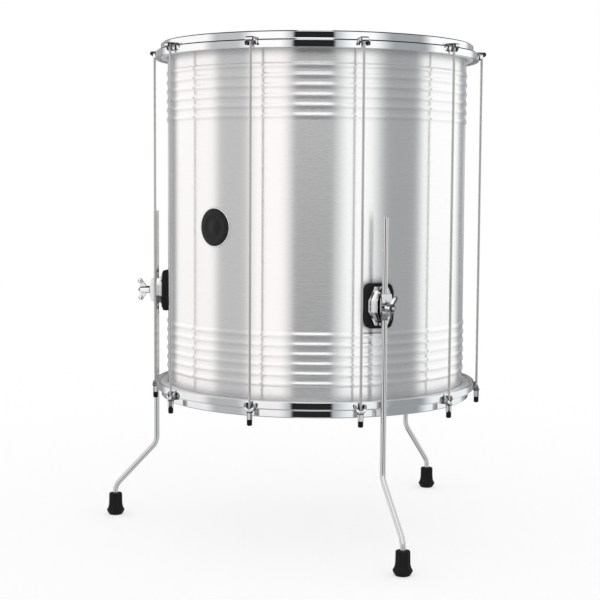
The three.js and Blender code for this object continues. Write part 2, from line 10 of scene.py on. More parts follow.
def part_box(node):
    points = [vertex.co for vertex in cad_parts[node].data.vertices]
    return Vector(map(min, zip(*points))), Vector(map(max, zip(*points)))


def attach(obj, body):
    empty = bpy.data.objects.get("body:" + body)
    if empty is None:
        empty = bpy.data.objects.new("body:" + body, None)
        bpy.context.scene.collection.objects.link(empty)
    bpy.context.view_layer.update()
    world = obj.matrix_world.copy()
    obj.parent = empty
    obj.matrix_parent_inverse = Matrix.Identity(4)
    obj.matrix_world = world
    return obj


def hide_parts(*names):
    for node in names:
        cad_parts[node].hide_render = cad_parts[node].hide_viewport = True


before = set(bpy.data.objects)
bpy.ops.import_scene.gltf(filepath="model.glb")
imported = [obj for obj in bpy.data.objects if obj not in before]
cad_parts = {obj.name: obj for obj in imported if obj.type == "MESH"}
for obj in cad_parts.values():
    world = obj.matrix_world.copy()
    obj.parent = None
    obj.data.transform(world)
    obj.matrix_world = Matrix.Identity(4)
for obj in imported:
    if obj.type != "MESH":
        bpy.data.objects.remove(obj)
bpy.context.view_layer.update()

MM = 0.001
MERGE_DISTANCE = 1e-6
OVERRUN = 1.0

# Drum, in millimetres
SHELL_RADIUS = 278.0
SHELL_DEPTH = 628.0
SHELL_WALL = 1.5
SHELL_BOTTOM = 263.0
BEAD_COUNT = 6
BEAD_PITCH = 16.9
BEAD_WIDTH = 11.0
BEAD_HEIGHT = 1.9
BEAD_INSET = 43.4
BEAD_CROWN_SHARE = 0.2
BEAD_ZONE_MARGIN = 8.0
BEAD_ZONE_ROWS = 72
PLAIN_ROWS = 4
END_ROWS_SHARE = 0.05
SHELL_COLUMNS = 160
SEAT_GAP = 0.3

# Hoops, measured from the rim
RIM_BOTTOM = 250.0
RIM_TOP = 904.0
HOOP_SHEET = 2.4
COLLAR_RADIUS = 290.5
COLLAR_HEIGHT = 14.4
BAND_RADIUS = 301.0
BAND_HEIGHT = 14.6
RIM_WIDTH = 4.2
RIM_CURL_DEPTH = 4.6
RIM_CURL_END = 7.4
RIM_CURL_ROUNDS = (2.0, 1.0)
RIM_SLOPE_DEPTH = 2.1
LEDGE_SLOPE_DEPTH = 2.6
SLOPE_RUN = 1.43
SLOPE_ROUND = 0.5
LEDGE_FILLET = 2.0
LEDGE_UNDER_ROUND = 1.1
BAND_LIP_ROUND = 0.9

# Heads, measured from the rim
FILM_LEVEL = 11.9
FILM_THICKNESS = 0.8
FILM_OUTSIDE = 279.4
FILM_INSIDE = 278.6
FILM_TURN = 3.0
FLESH_TOP = 17.1
FLESH_BOTTOM = 27.6
FLESH_RADIUS = 291.0
FLESH_ROUND = 1.6

# Tension rods; the neck gives shares of its radius and heights over its lower end
ROD_COUNT = 10
ROD_CIRCLE = 306.5
ROD_RADIUS = 2.3
ROD_NECK_RADIUS = 3.7
ROD_NECK_LENGTH = 5.0
ROD_SWELL = 1.1
ROD_NECK = ((0.85, 0.8), (1.0, 2.6), (1.0, 5.6), (0.8, 7.0), (0.4, 7.8), (0.0, 8.0))

# Claws; an upper one is 1, a lower one -1
CLAW_ROOF_WIDTH = 12.0
CLAW_FOOT_WIDTH = 22.0
CLAW_ROOF = 3.4
CLAW_REACH = 10.6
CLAW_ARCH_WIDTH = 14.0
CLAW_ARCH_HEIGHT = 9.4
CLAW_FOOT_DEPTH = 4.0
CLAW_ROOF_DEPTH = 8.8
CLAW_FRONT_ROUND = 3.0
CLAW_EDGE_ROUND = 0.6
CLAW_NOSE_RADIUS = 4.1
CLAW_NOSE_WIDTH = 12.6
CLAW_NOSE_OUT = 3.8
CLAW_SLOPE_DEPTH = 2.6
CLAW_SLOPE_RUN = 3.4
CLAW_SEAT_RADIUS = 6.9
CLAW_SEAT_THICKNESS = 2.0
# Painted dark reflection on claw faces that lean between these shares of upright, and on the nose's side ends
CLAW_LEAN = (0.3, 0.5)
CLAW_FLAT_TOP = (0.88, 0.96)
CLAW_END_FACE = 0.7
CLAW_END_MARGIN = 2.0
CLAW_PAINTED_DARKNESS_SHARE = {1: 1.0, -1: 0.75}
CASTING_GRAIN = 0.5

# Tuning nuts and end caps
NUT_SIDES = 6
NUT_STEPS = 24
NUT_FLAT_RADIUS = 4.9
NUT_CORNER_SHARE = 0.97
NUT_TOP = 260.7
NUT_BOTTOM = 247.2
NUT_CHAMFER = 0.6
WASHER_RADIUS = 5.7
WASHER_THICKNESS = 1.5
WASHER_ROUND = 0.3
WASHER_SEAT = 0.2
BORE_RADIUS = 2.65
CAP_RADIUS = 4.65
CAP_TOP = 246.9
CAP_BOTTOM = 236.5
CAP_END_ROUND = 2.6
CAP_LIP_ROUND = 0.5

# Badge; its face has three raised rings, which end and start at shares of its radius
BADGE_RADIUS = 33.9
BADGE_HEIGHT = 572.0
BADGE_THICKNESS = 1.3
BADGE_RIM_WIDTH = 1.2
BADGE_RIM_ROUND = 0.54
BADGE_RECESS = 0.3
BADGE_STEP = 0.18
BADGE_LOW_SHARES = (0.92, 0.60, 0.30)
BADGE_RAISED_SHARES = (0.88, 0.62, 0.28)

# Legs and feet
LEG_TURNS = (61.5, 181.5, 301.5)
LEG_CIRCLE = 309.35
LEG_RADIUS = 5.0
LEG_TOP = 594.0
LEG_SPLAY = 83.0
LEG_LEAN = 43.0
LEG_BEND_RADIUS = 30.0
LEG_LOWER_BEND = 45.3
LEG_END = 18.3
LEG_END_ROUND = 0.9
FOOT_HEIGHT = 42.0
FOOT_TOP_RADIUS = 12.5
FOOT_TOP_ROUND = 0.8
FOOT_NECK_SWELL = 0.3
FOOT_NECK_TOP = 25.2
FOOT_FLARE_RADIUS = 17.0
FOOT_FLARE_HEIGHT = 10.0
FOOT_FLARE_LIP = 3.0
FOOT_FLARE_ROUND = 0.6
FOOT_BASE_RADIUS = 13.0
FOOT_BASE_ROUND = 1.0
FOOT_SOCKET_LEVEL = 18.0
FOOT_SOCKET_RADIUS = 5.3
FLUTE_COUNT = 10
FLUTE_DEPTH = 1.5
FLUTE_START = 6.5
FLUTE_FADE = 3.0
FLUTE_LEAST_RADIUS = 9.5
FLUTE_SHARPNESS = 1.6

# Leg brackets, in distances from the drum's axis
BRACKET_LEVEL = 442.0
GASKET_BACK = 266.0
GASKET_FRONT = 293.0
GASKET_WIDTH = 51.0
GASKET_HEIGHT = 77.0
GASKET_END_TAPER = 5.0
GASKET_SHOULDER = 48.0
GASKET_CORNERS = (7.0, 9.0)
GASKET_BEVEL = 2.2
GASKET_BEVEL_STEPS = 4
PLATE_BACK = 293.3
PLATE_FRONT = 296.3
PLATE_WIDTH = 46.0
PLATE_END_WIDTH = 26.0
PLATE_HEIGHT = 68.0
PLATE_DRAFT = 2.0
BASE_CORNERS = (1.6, 3.0)
WAIST_HEIGHT = 20.0
FLARE_WIDTH = 38.0
FLARE_END_WIDTH = 22.0
FLARE_HEIGHT = 54.0
FLARE_DEPTH = 3.4
BLOCK_ROOT_WIDTH = 28.0
BLOCK_ROOT_HEIGHT = 50.0
BLOCK_WIDTH = 24.0
BLOCK_END_WIDTH = 17.0
BLOCK_HEIGHT = 46.0
BLOCK_FRONT = 306.5
JAW_BACK = 312.2
JAW_FRONT = 320.2
JAW_WIDTH = 19.0
JAW_HEIGHT = 45.0
JAW_END_THICKNESS = 4.6
JAW_FLAT_HEIGHT = 20.0
JAW_ROUNDS = (2.0, 4.0)
CHANNEL_RADIUS = 5.3
SCREW_LEVELS = (BRACKET_LEVEL - 30.0, BRACKET_LEVEL + 30.0)
SCREW_RADIUS = 2.5
SCREW_POINT = 0.5
SCREW_HEAD_RADIUS = 4.0
SCREW_HEAD_HEIGHT = 2.6
SCREW_HEAD_EDGE = 0.8
SCREW_TIP = 268.4
SLOT_LENGTH = 5.2
SLOT_WIDTH = 0.9
SLOT_DEPTH = 1.3
EYE_RADIUS = 8.5
EYE_HALF_HEIGHT = 2.5
STEM_RADIUS = 3.15
STEM_BACK = 315.55
STEM_END = 344.8
STEM_CHAMFER = 0.6
THREAD_PITCH = 1.0
THREAD_DEPTH = 0.45
HUB_BACK = 320.5
HUB_FRONT = 341.5
HUB_RADIUS = 7.0
HUB_TIP_RADIUS = 6.0
HUB_COLLAR = 3.0
HUB_ROUNDS = (0.6, 0.8)
WING_HALF_SPAN = 21.5
WING_TIP_RADIUS = 5.0
WING_PAD_HALF = 2.6
WING_THICKNESS = 3.0
WING_ROOT_BACK = 327.5
WING_NOTCH = 336.5
WING_TIP_DISTANCE = 340.5
WING_TURNS = (19.0, 35.0, 8.0)
BACKING_FRONT = 275.4
BACKING_BACK = 273.4
BACKING_WIDTH = 26.0
BACKING_HEIGHT = 72.0
BACKING_HOLE = 0.4

shell_low, shell_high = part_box("shell")
drum_axis = Vector(((shell_low.x + shell_high.x) / 2, (shell_low.y + shell_high.y) / 2, 0))


# Mesh helpers: local millimetres round the drum's own axis, turned to metres on making

def linked(name, mesh):
    piece = bpy.data.objects.new(name, mesh)
    bpy.context.scene.collection.objects.link(piece)
    return piece


def from_shape(name, shape):
    mesh = bpy.data.meshes.new(name)
    shape.to_mesh(mesh)
    shape.free()
    mesh.shade_smooth()
    return linked(name, mesh)


def closed_outwards(shape):
    """Merges doubles and turns the faces outwards."""
    bmesh.ops.remove_doubles(shape, verts=shape.verts, dist=MERGE_DISTANCE)
    bmesh.ops.recalc_face_normals(shape, faces=shape.faces)


def solid(name, vertices, faces):
    """A closed mesh from local points in millimetres."""
    shape = bmesh.new()
    points = [shape.verts.new(Vector(vertex) * MM) for vertex in vertices]
    for face in faces:
        shape.faces.new([points[i] for i in face])
    closed_outwards(shape)
    return from_shape(name, shape)


def loft(rings, closed_ends=True, closed_row=True):
    """Vertices and faces through rings of equal length."""
    count = len(rings[0])
    last = (len(rings) - 1) * count
    faces = []
    for start in range(0, last, count):
        for i in range(count if closed_row else count - 1):
            a, b = start + i, start + (i + 1) % count
            faces.append((a, b, b + count, a + count))
    if closed_ends:
        faces.append(tuple(reversed(range(count))))
        faces.append(tuple(last + i for i in range(count)))
    return [point for ring in rings for point in ring], faces


def revolved(name, profile, segments, place):
    """Sweeps a profile through a full turn; one that starts on the axis needs no closing."""
    angles = [2 * pi * step / segments for step in range(segments + 1)]
    rings = [[place(r, along, sin(angle), cos(angle)) for r, along in profile] for angle in angles]
    return solid(name, *loft(rings, closed_ends=False, closed_row=profile[0][0] > MERGE_DISTANCE))


def turned(name, profile, segments=96):
    """A profile of (radius, height) turned about the upright axis."""
    return revolved(name, profile, segments, lambda r, z, s, c: (r * s, -r * c, z))


def turned_outward(name, profile, segments=48, level=BRACKET_LEVEL):
    """A profile of (radius, distance) turned about a line that points outwards from the drum."""
    return revolved(name, profile, segments, lambda r, d, s, c: (r * s, -d, level + r * c))


def rod_profile(radius, low, high):
    return [(0.0, low), (radius, low), (radius, high), (0.0, high)]


def upright_tool(radius, low, high, distance=LEG_CIRCLE, segments=40):
    return shifted(turned("tool", rod_profile(radius, low, high), segments), distance=distance)


def outward_tool(radius, near, far, segments=32, level=BRACKET_LEVEL):
    return turned_outward("tool", rod_profile(radius, near, far), segments, level)


def front_ring(outline, distance, level=0.0):
    return [(x, -distance, level + z) for x, z in outline]


def front_slab(name, outline, near, far, level=0.0):
    """An outline seen from outside the drum, given depth outwards."""
    return solid(name, *loft([front_ring(outline, near, level), front_ring(outline, far, level)]))


def side_slab(name, outline, width, level=0.0):
    """An outline of (distance, height), given a width across."""
    return solid(name, *loft([[(side * width / 2, -d, level + z) for d, z in outline] for side in (-1, 1)]))


def arc(centre, radii, start, end, steps):
    """Points on an ellipse from one angle to another, in degrees."""
    angles = [radians(start + (end - start) * step / steps) for step in range(steps + 1)]
    return [(centre[0] + radii[0] * cos(angle), centre[1] + radii[1] * sin(angle)) for angle in angles]


def bowed(start, control, end, steps):
    """Points on a curve from start to end, drawn towards its control point."""
    start, control, end = Vector(start), Vector(control), Vector(end)
    shares = [step / steps for step in range(steps + 1)]
    return [tuple(start * (1 - t) ** 2 + control * 2 * t * (1 - t) + end * t ** 2) for t in shares]


def rounded(corners, steps=5):
    """A closed outline whose corners (x, y, radius) are turned into arcs."""
    outline = []
    for i, (x, y, radius) in enumerate(corners):
        if radius == 0:
            outline.append((x, y))
            continue
        corner = Vector((x, y))
        before = (Vector(corners[i - 1][:2]) - corner).normalized()
        after = (Vector(corners[(i + 1) % len(corners)][:2]) - corner).normalized()
        half = before.angle(after) / 2
        start = corner + before * (radius / tan(half))
        centre = corner + (before + after).normalized() * (radius / sin(half))
        sweep = pi - 2 * half
        if before.cross(after) > 0:
            sweep = -sweep
        for step in range(steps + 1):
            outline.append(tuple(centre + Matrix.Rotation(sweep * step / steps, 2) @ (start - centre)))
    return outline


def pointed(width, end_width, height, shoulder, corner, end_corner):
    """Corners of a bar-shaped outline that narrows from its shoulders to its ends."""
    right = [
        (end_width / 2, -height / 2, end_corner),
        (width / 2, -shoulder / 2, corner),
        (width / 2, shoulder / 2, corner),
        (end_width / 2, height / 2, end_corner),
    ]
    return right + [(-x, y, r) for x, y, r in reversed(right)]


def settled(piece):
    """Turns what the modifiers make into the piece's own plain mesh."""
    depsgraph = bpy.context.evaluated_depsgraph_get()
    made = piece.evaluated_get(depsgraph)
    mesh = bpy.data.meshes.new_from_object(made, preserve_all_data_layers=True, depsgraph=depsgraph)
    piece.modifiers.clear()
    piece.data = mesh
    mesh.name = piece.name
    return piece


def modified(piece, kind, **settings):
    modifier = piece.modifiers.new(kind, kind)
    for name, value in settings.items():
        setattr(modifier, name, value)
    return settled(piece)


def combined(piece, tool, operation="DIFFERENCE"):
    modified(piece, "BOOLEAN", operation=operation, solver="EXACT", object=tool)
    bpy.data.objects.remove(tool)
    return piece


def edges_softened(piece, width, segments=2, angle=30.0):
    """Rounds the hard edges and keeps the flats flat."""
    piece.data.shade_smooth()
    return modified(piece, "BEVEL", width=width * MM, segments=segments, limit_method="ANGLE",
                    angle_limit=radians(angle), harden_normals=True)


def smoothed_casting(piece):
    """Melts the sharp corners of a union, as a casting's are."""
    modified(piece, "REMESH", mode="VOXEL", voxel_size=CASTING_GRAIN * MM)
    modified(piece, "SMOOTH", factor=0.5, iterations=3)
    piece.data.shade_smooth()
    return piece


def joined(name, pieces):
    """One mesh from several pieces, which are used up."""
    shape = bmesh.new()
    for piece in pieces:
        shape.from_mesh(piece.data)
        bpy.data.objects.remove(piece)
    return from_shape(name, shape)


def shifted(piece, distance=0.0, height=0.0):
    """Moves the mesh outwards and up, in millimetres."""
    piece.data.transform(Matrix.Translation(Vector((0, -distance, height)) * MM))
    return piece


def crisp(piece, degrees):
    piece.data.shade_smooth()
    piece.data.set_sharp_from_angle(angle=radians(degrees))
    return piece


def flat_faced(piece):
    """Leaves the bending of the normals to the small faces, so that the large ones mirror as flats do."""
    return modified(piece, "WEIGHTED_NORMAL", keep_sharp=True)


def on_axis(piece):
    """Moves a piece made round the local axis to the drum's place."""
    piece.data.transform(Matrix.Translation(drum_axis))
    return piece


# Node helpers

class Field:
    """A socket's value, so that sums are written as sums."""

    def __init__(self, build, socket):
        self.build = build
        self.socket = socket

    def __add__(self, other):
        return self.build.math("ADD", self, other)

    def __sub__(self, other):
        return self.build.math("SUBTRACT", self, other)

    def __rsub__(self, other):
        return self.build.math("SUBTRACT", other, self)

    def __mul__(self, other):
        return self.build.math("MULTIPLY", self, other)

    def __truediv__(self, other):
        return self.build.math("DIVIDE", self, other)


class Builder:
    """Adds nodes to a tree; an input is a plain value or another node's field."""

    def __init__(self, tree):
        self.nodes = tree.nodes
        self.links = tree.links

    def feed(self, socket, value):
        if isinstance(value, Field):
            self.links.new(value.socket, socket)
        else:
            socket.default_value = value

    def added(self, kind, inputs=(), **settings):
        node = self.nodes.new(kind)
        for name, value in settings.items():
            setattr(node, name, value)
        for key, value in dict(inputs).items():
            self.feed(node.inputs[key], value)
        return node

    def node(self, kind, inputs=(), output=0, **settings):
        return Field(self, self.added(kind, inputs, **settings).outputs[output])

    def fields(self, kind, inputs=()):
        return {socket.name: Field(self, socket) for socket in self.added(kind, inputs).outputs}

    def math(self, operation, *values):
        return self.node("ShaderNodeMath", enumerate(values), operation=operation)

    def vector(self, operation, *values):
        return self.node("ShaderNodeVectorMath", enumerate(values), operation=operation)

    def ranged(self, value, low, high, to_low, to_high, smooth=False):
        kind = "SMOOTHSTEP" if smooth else "LINEAR"
        return self.node("ShaderNodeMapRange", enumerate((value, low, high, to_low, to_high)),
                         interpolation_type=kind)

    def combine(self, x, y, z):
        return self.node("ShaderNodeCombineXYZ", enumerate((x, y, z)))

    def split(self, vector):
        return self.fields("ShaderNodeSeparateXYZ", {0: vector})

    def blended(self, factor, first, second):
        """Between two colours."""
        return self.node("ShaderNodeMix", {0: factor, 6: first, 7: second}, 2, data_type="RGBA")


class Tree(Builder):
    """A geometry tree with named inputs, which ends in real geometry with its finish set."""

    def __init__(self, name, **inputs):
        self.tree = bpy.data.node_groups.new(name, "GeometryNodeTree")
        add = self.tree.interface.new_socket
        add("Geometry", in_out="INPUT", socket_type="NodeSocketGeometry")
        for kind, labels in {**inputs, "Material": ("Finish",)}.items():
            for label in labels:
                add(label, in_out="INPUT", socket_type=f"NodeSocket{kind}")
        add("Geometry", in_out="OUTPUT", socket_type="NodeSocketGeometry")
        super().__init__(self.tree)
        self.given = self.fields("NodeGroupInput")

    def ended(self, geometry):
        real = self.node("GeometryNodeRealizeInstances", {0: geometry})
        finished = self.node("GeometryNodeSetMaterial", {"Geometry": real, "Material": self.given["Finish"]})
        self.added("NodeGroupOutput", {0: finished})
        return self.tree


def grown(piece, tree, values):
    """Runs a tree on a piece with its named inputs and keeps the plain mesh."""
    modifier = piece.modifiers.new(tree.name, "NODES")
    modifier.node_group = tree
    for item in tree.interface.items_tree:
        if item.item_type == "SOCKET" and item.in_out == "INPUT" and item.name in values:
            modifier[item.identifier] = values[item.name]
    return settled(piece)


def round_the_drum_tree():
    """Repeats the piece round the drum's axis."""
    build = Tree("round_the_drum", Int=["Count"], Float=["First turn", "Turn between"], Vector=["Drum axis"])
    given = build.given
    points = build.node("GeometryNodePoints", {"Count": given["Count"], "Position": given["Drum axis"]})
    turn = build.node("GeometryNodeInputIndex") * given["Turn between"] + given["First turn"]
    rotation = build.node("FunctionNodeEulerToRotation", {0: build.combine(0.0, 0.0, turn)})
    return build.ended(build.node("GeometryNodeInstanceOnPoints", {
        "Points": points, "Instance": given["Geometry"], "Rotation": rotation,
    }))


def beaded_shell_tree():
    """A rolled sheet with a row of beads near each end."""
    build = Tree("beaded_shell", Int=["Columns", "Rows"], Vector=["Drum axis"], Float=[
        "Radius", "Depth", "Bottom", "Bead count", "Bead pitch", "Bead width", "Bead height",
        "Bead inset", "Bead crown", "Zone margin", "Zone share", "End share",
    ])
    given = build.given
    grid = build.node("GeometryNodeMeshGrid", {
        "Size X": 1.0, "Size Y": 1.0, "Vertices X": given["Columns"], "Vertices Y": given["Rows"],
    })
    place = build.split(build.node("GeometryNodeInputPosition"))
    around, along = place["X"] + 0.5, place["Y"] + 0.5
    mapped = build.node("GeometryNodeStoreNamedAttribute", {
        "Geometry": grid, "Name": "around_up", "Value": build.combine(around, along, 0.0),
    }, data_type="FLOAT2", domain="CORNER")

    # Rows crowd into the two beaded zones; the rest of the sheet needs only a few
    last_bead = given["Bead count"] - 1.0
    end_length = given["Bead inset"] - given["Zone margin"]
    zone_length = last_bead * given["Bead pitch"] + given["Zone margin"] * 2.0
    middle = (
        1.0 - (given["Zone share"] + given["End share"]) * 2.0,
        given["Depth"] - (end_length + zone_length) * 2.0,
    )
    end, zone = (given["End share"], end_length), (given["Zone share"], zone_length)
    start, height = 0.0, 0.0
    for share, length in (end, zone, middle, zone, end):
        finish = share + start
        height = build.ranged(along, start, finish, 0.0, length) + height
        start = finish

    from_end = build.math("MINIMUM", height, given["Depth"] - height)
    bead = (from_end - given["Bead inset"]) / given["Bead pitch"]
    nearest = build.math("MINIMUM", build.math("MAXIMUM", build.math("ROUND", bead), 0.0), last_bead)
    off_centre = build.math("ABSOLUTE", bead - nearest) * given["Bead pitch"]
    half = given["Bead width"] * 0.5
    rise = build.ranged(off_centre, half * given["Bead crown"], half, given["Bead height"], 0.0, smooth=True)
    radius = given["Radius"] + rise
    angle = around * (2 * pi)
    x, y = radius * build.math("SINE", angle), radius * build.math("COSINE", angle) * -1.0
    upright = build.combine(x, y, given["Bottom"] + height)
    wall = build.node("GeometryNodeSetPosition", {
        "Geometry": mapped, "Position": build.vector("ADD", upright, given["Drum axis"]),
    })
    return build.ended(build.node("GeometryNodeMergeByDistance", {
        "Geometry": wall, "Distance": MERGE_DISTANCE,
    }))


def bent_bar_tree():
    """A round bar along the piece's own edges, with its corners bent."""
    build = Tree("bent_bar", Float=["Bar radius", "Bend radius"], Int=["Bend steps", "Facets"])
    given = build.given
    bent = build.node("GeometryNodeFilletCurve", {
        "Curve": build.node("GeometryNodeMeshToCurve", {"Mesh": given["Geometry"]}),
        "Radius": given["Bend radius"],
        "Count": given["Bend steps"],
    }, mode="POLY")
    circle = build.node("GeometryNodeCurvePrimitiveCircle", {
        "Resolution": given["Facets"], "Radius": given["Bar radius"],
    })
    return build.ended(build.node("GeometryNodeCurveToMesh", {
        "Curve": bent, "Profile Curve": circle, "Fill Caps": True,
    }))


def flutes_tree():
    """Presses upright flutes into the side of a turned piece that stands on the local axis."""
    build = Tree("flutes", Float=[
        "Flute count", "Flute depth", "Sharpness", "Least radius", "Low level", "Fade",
    ])
    given = build.given
    place = build.split(build.node("GeometryNodeInputPosition"))
    flat = build.combine(place["X"], place["Y"], 0.0)
    wave = build.math("COSINE", build.math("ARCTAN2", place["Y"], place["X"]) * given["Flute count"])
    groove = build.math("POWER", 0.5 - wave * 0.5, given["Sharpness"])
    radius = build.node("ShaderNodeVectorMath", {0: flat}, "Value", operation="LENGTH")
    outside = build.math("GREATER_THAN", radius, given["Least radius"])
    upper = given["Low level"] + given["Fade"]
    above = build.ranged(place["Z"], given["Low level"], upper, 0.0, 1.0, smooth=True)
    press = groove * given["Flute depth"] * -1.0 * outside * above
    offset = build.node("ShaderNodeVectorMath", {0: build.vector("NORMALIZE", flat), "Scale": press},
                        operation="SCALE")
    return build.ended(build.node("GeometryNodeSetPosition", {
        "Geometry": given["Geometry"], "Offset": offset,
    }))


ROUND_THE_DRUM = round_the_drum_tree()


def repeated(piece, finish, turns):
    """Copies a piece to each of the even turns, in degrees, round the drum."""
    return grown(piece, ROUND_THE_DRUM, {
        "Count": len(turns),
        "First turn": radians(turns[0]),
        "Turn between": radians(turns[-1] - turns[0]) / max(len(turns) - 1, 1),
        "Drum axis": drum_axis,
        "Finish": finish,
    })


# Finishes

# Painted shade: an occlusion node darkens the colour near other surfaces, in the castings' recesses and on
# the shell next to the hoops and the parts on it
RECESS_REACH = 9.0
RECESS_OPEN = (0.5, 0.88)
PAINTED_SHADE_TONE = (0.03, 0.03, 0.034, 1.0)
SHELL_SHADE_REACH = 15.0
SHELL_SHADE_OPEN = (0.55, 0.95)
SHELL_SHADE_TONE = (0.6, 0.6, 0.61, 1.0)


class Finish(Builder):
    """A material whose constant values stand on its shader's own sockets."""

    def __init__(self, name, values):
        self.material = bpy.data.materials.new(name)
        self.material.use_nodes = True
        super().__init__(self.material.node_tree)
        self.shader = self.nodes["Principled BSDF"].inputs
        for label, value in values.items():
            self.shader[label].default_value = value

    def noise(self, scale, detail=3.0, stretch=(1.0, 1.0, 1.0), roughness=0.5):
        """Noise on the object's own metres; stretch multiplies the scale along each axis."""
        place = self.node("ShaderNodeTexCoord", output="Object")
        mapped = self.node("ShaderNodeMapping", {"Vector": place, "Scale": stretch})
        return self.node("ShaderNodeTexNoise", {
            "Vector": mapped, "Scale": scale, "Detail": detail, "Roughness": roughness,
        })

    def tint(self, factor, dark, light):
        self.feed(self.shader["Base Color"], self.blended(factor, (*dark, 1.0), (*light, 1.0)))

    def darken(self, factor, tone):
        """Mixes a darker tone over the colour set so far."""
        before = Field(self, self.shader["Base Color"].links[0].from_socket)
        self.feed(self.shader["Base Color"], self.blended(factor, before, tone))

    def paint_recess_shade(self, reach, limits, tone):
        # Painted shade: the colour darkens where other surfaces are close
        open_share = self.node("ShaderNodeAmbientOcclusion", {"Distance": reach * MM}, "AO", samples=8)
        self.darken(self.ranged(open_share, *limits, 1.0, 0.0), tone)

    def roughen(self, factor, low, high, start=0.3, end=0.7):
        self.feed(self.shader["Roughness"], self.ranged(factor, start, end, low, high))

    def bump(self, height, strength, distance):
        self.feed(self.shader["Normal"], self.node("ShaderNodeBump", {
            "Height": height, "Strength": strength, "Distance": distance,
        }))


def brushed_aluminium():
    """Sheet brushed round the drum, so its reflections run up and down."""
    made = Finish("brushed_aluminium", {"Metallic": 1.0, "Anisotropic": 1.0, "Anisotropic Rotation": 0.25})
    tangent = made.node("ShaderNodeTangent", direction_type="UV_MAP", uv_map="around_up")
    made.feed(made.shader["Tangent"], tangent)
    strokes = made.noise(1.0, 6.0, (9.0, 9.0, 1900.0), 0.7)
    grain = strokes * 0.7 + made.noise(5.0, 4.0) * 0.3
    made.tint(grain, (0.98, 0.98, 0.98), (1.0, 1.0, 1.0))
    # Painted shade on the shell next to the hoops and round the parts on it, standing in for their shadows
    # and dark reflections
    made.paint_recess_shade(SHELL_SHADE_REACH, SHELL_SHADE_OPEN, SHELL_SHADE_TONE)
    made.roughen(grain, 0.255, 0.285)
    made.bump(strokes, 0.01, 0.0002)
    return made.material


def chrome(name, tone, waviness, haze, recess=0.0, painted_faces=False):
    """Polished plating with faint waves and haze; castings get painted shade in their recesses and painted
    dark reflections and shade on faces picked by their direction.
    """
    made = Finish(name, {"Metallic": 1.0})
    smear = made.noise(34.0, 5.0, roughness=0.65)
    made.roughen(smear, haze * 0.6, haze * 1.8, 0.35, 0.75)
    made.tint(smear, [channel * 0.97 for channel in tone], tone)
    # Painted shade in the recesses; painted dark reflection and shade on the faces that the kept attribute
    # marks
    if recess:
        made.paint_recess_shade(recess, RECESS_OPEN, PAINTED_SHADE_TONE)
    if painted_faces:
        made.darken(made.node("ShaderNodeAttribute", output="Fac", attribute_name="painted_darkness"), PAINTED_SHADE_TONE)
    made.bump(made.noise(22.0, 2.0), waviness, 0.002)
    return made.material


def zinc_plate():
    made = Finish("zinc_plated_steel", {"Metallic": 1.0})
    place = made.node("ShaderNodeTexCoord", output="Object")
    spangle = made.node("ShaderNodeTexVoronoi", {"Vector": place, "Scale": 420.0}, "Distance")
    made.tint(spangle, (0.54, 0.56, 0.58), (0.68, 0.69, 0.71))
    made.roughen(spangle, 0.3, 0.45, 0.0, 0.8)
    made.bump(spangle, 0.08, 0.0002)
    return made.material


def grained(name, values, grain, tones, roughness, relief):
    """A finish whose tone and roughness follow one noise; its relief is that noise or a finer one."""
    made = Finish(name, values)
    pattern = made.noise(*grain)
    made.tint(pattern, *tones)
    made.roughen(pattern, *roughness)
    strength, distance, *finer = relief
    made.bump(made.noise(*finer) if finer else pattern, strength, distance)
    return made.material


BRUSHED = brushed_aluminium()
HOOP_CHROME = chrome("hoop_chrome", (0.925, 0.94, 0.955), 0.05, 0.03)
NUT_CHROME = chrome("nut_chrome", (0.66, 0.66, 0.665), 0.02, 0.05, recess=4.0)
CLAW_CHROME = chrome("claw_chrome", (0.9, 0.905, 0.91), 0.06, 0.05, recess=RECESS_REACH, painted_faces=True)
CAST_CHROME = chrome("cast_chrome", (0.91, 0.915, 0.92), 0.08, 0.06, recess=RECESS_REACH, painted_faces=True)
ROD_STEEL = chrome("rod_steel", (0.68, 0.67, 0.66), 0.02, 0.04)
LEG_STEEL = chrome("leg_steel", (0.74, 0.75, 0.75), 0.02, 0.05)
ZINC = zinc_plate()

# The thin, unpolished plating on the hoops' inner faces
INNER_PLATING = grained(
    "inner_plating", {"Metallic": 1.0}, (60.0, 4.0),
    ((0.89, 0.89, 0.90), (0.96, 0.96, 0.97)), (0.16, 0.28), (0.08, 0.0002, 500.0))

# The badge's pressed rim, dulled so that it catches light from all round
SATIN_SILVER = grained(
    "satin_silver", {"Metallic": 0.4}, (700.0,),
    ((0.94, 0.94, 0.94), (0.98, 0.98, 0.98)), (0.34, 0.5), (0.06, 0.0002))

# Milky polyester with a fine sprayed grain and a slightly cloudy tone
FILM = grained(
    "drum_film", {}, (7.0, 4.0),
    ((0.80, 0.80, 0.775), (0.86, 0.86, 0.845)), (0.36, 0.48), (0.12, 0.0002, 1400.0, 2.0))

RUBBER = grained(
    "black_rubber", {"Specular IOR Level": 0.13}, (60.0, 4.0),
    ((0.006, 0.006, 0.007), (0.014, 0.014, 0.015)), (0.5, 0.7), (0.2, 0.0003, 1600.0))

CAP_PLASTIC = grained(
    "black_cap_plastic", {"Specular IOR Level": 0.12}, (900.0,),
    ((0.004, 0.004, 0.004), (0.009, 0.009, 0.009)), (0.28, 0.42), (0.08, 0.0002))

ENAMEL = grained(
    "badge_enamel", {"Specular IOR Level": 0.22, "Coat Weight": 0.05, "Coat Roughness": 0.08}, (120.0,),
    ((0.007, 0.007, 0.008), (0.013, 0.013, 0.014)), (0.26, 0.4), (0.05, 0.0005))

# Aluminium drawn round the flesh hoops
FLESH_METAL = grained(
    "flesh_hoop_aluminium", {"Metallic": 0.6}, (1.0, 4.0, (14.0, 14.0, 900.0)),
    ((0.82, 0.82, 0.83), (0.89, 0.89, 0.90)), (0.4, 0.5), (0.1, 0.0002))


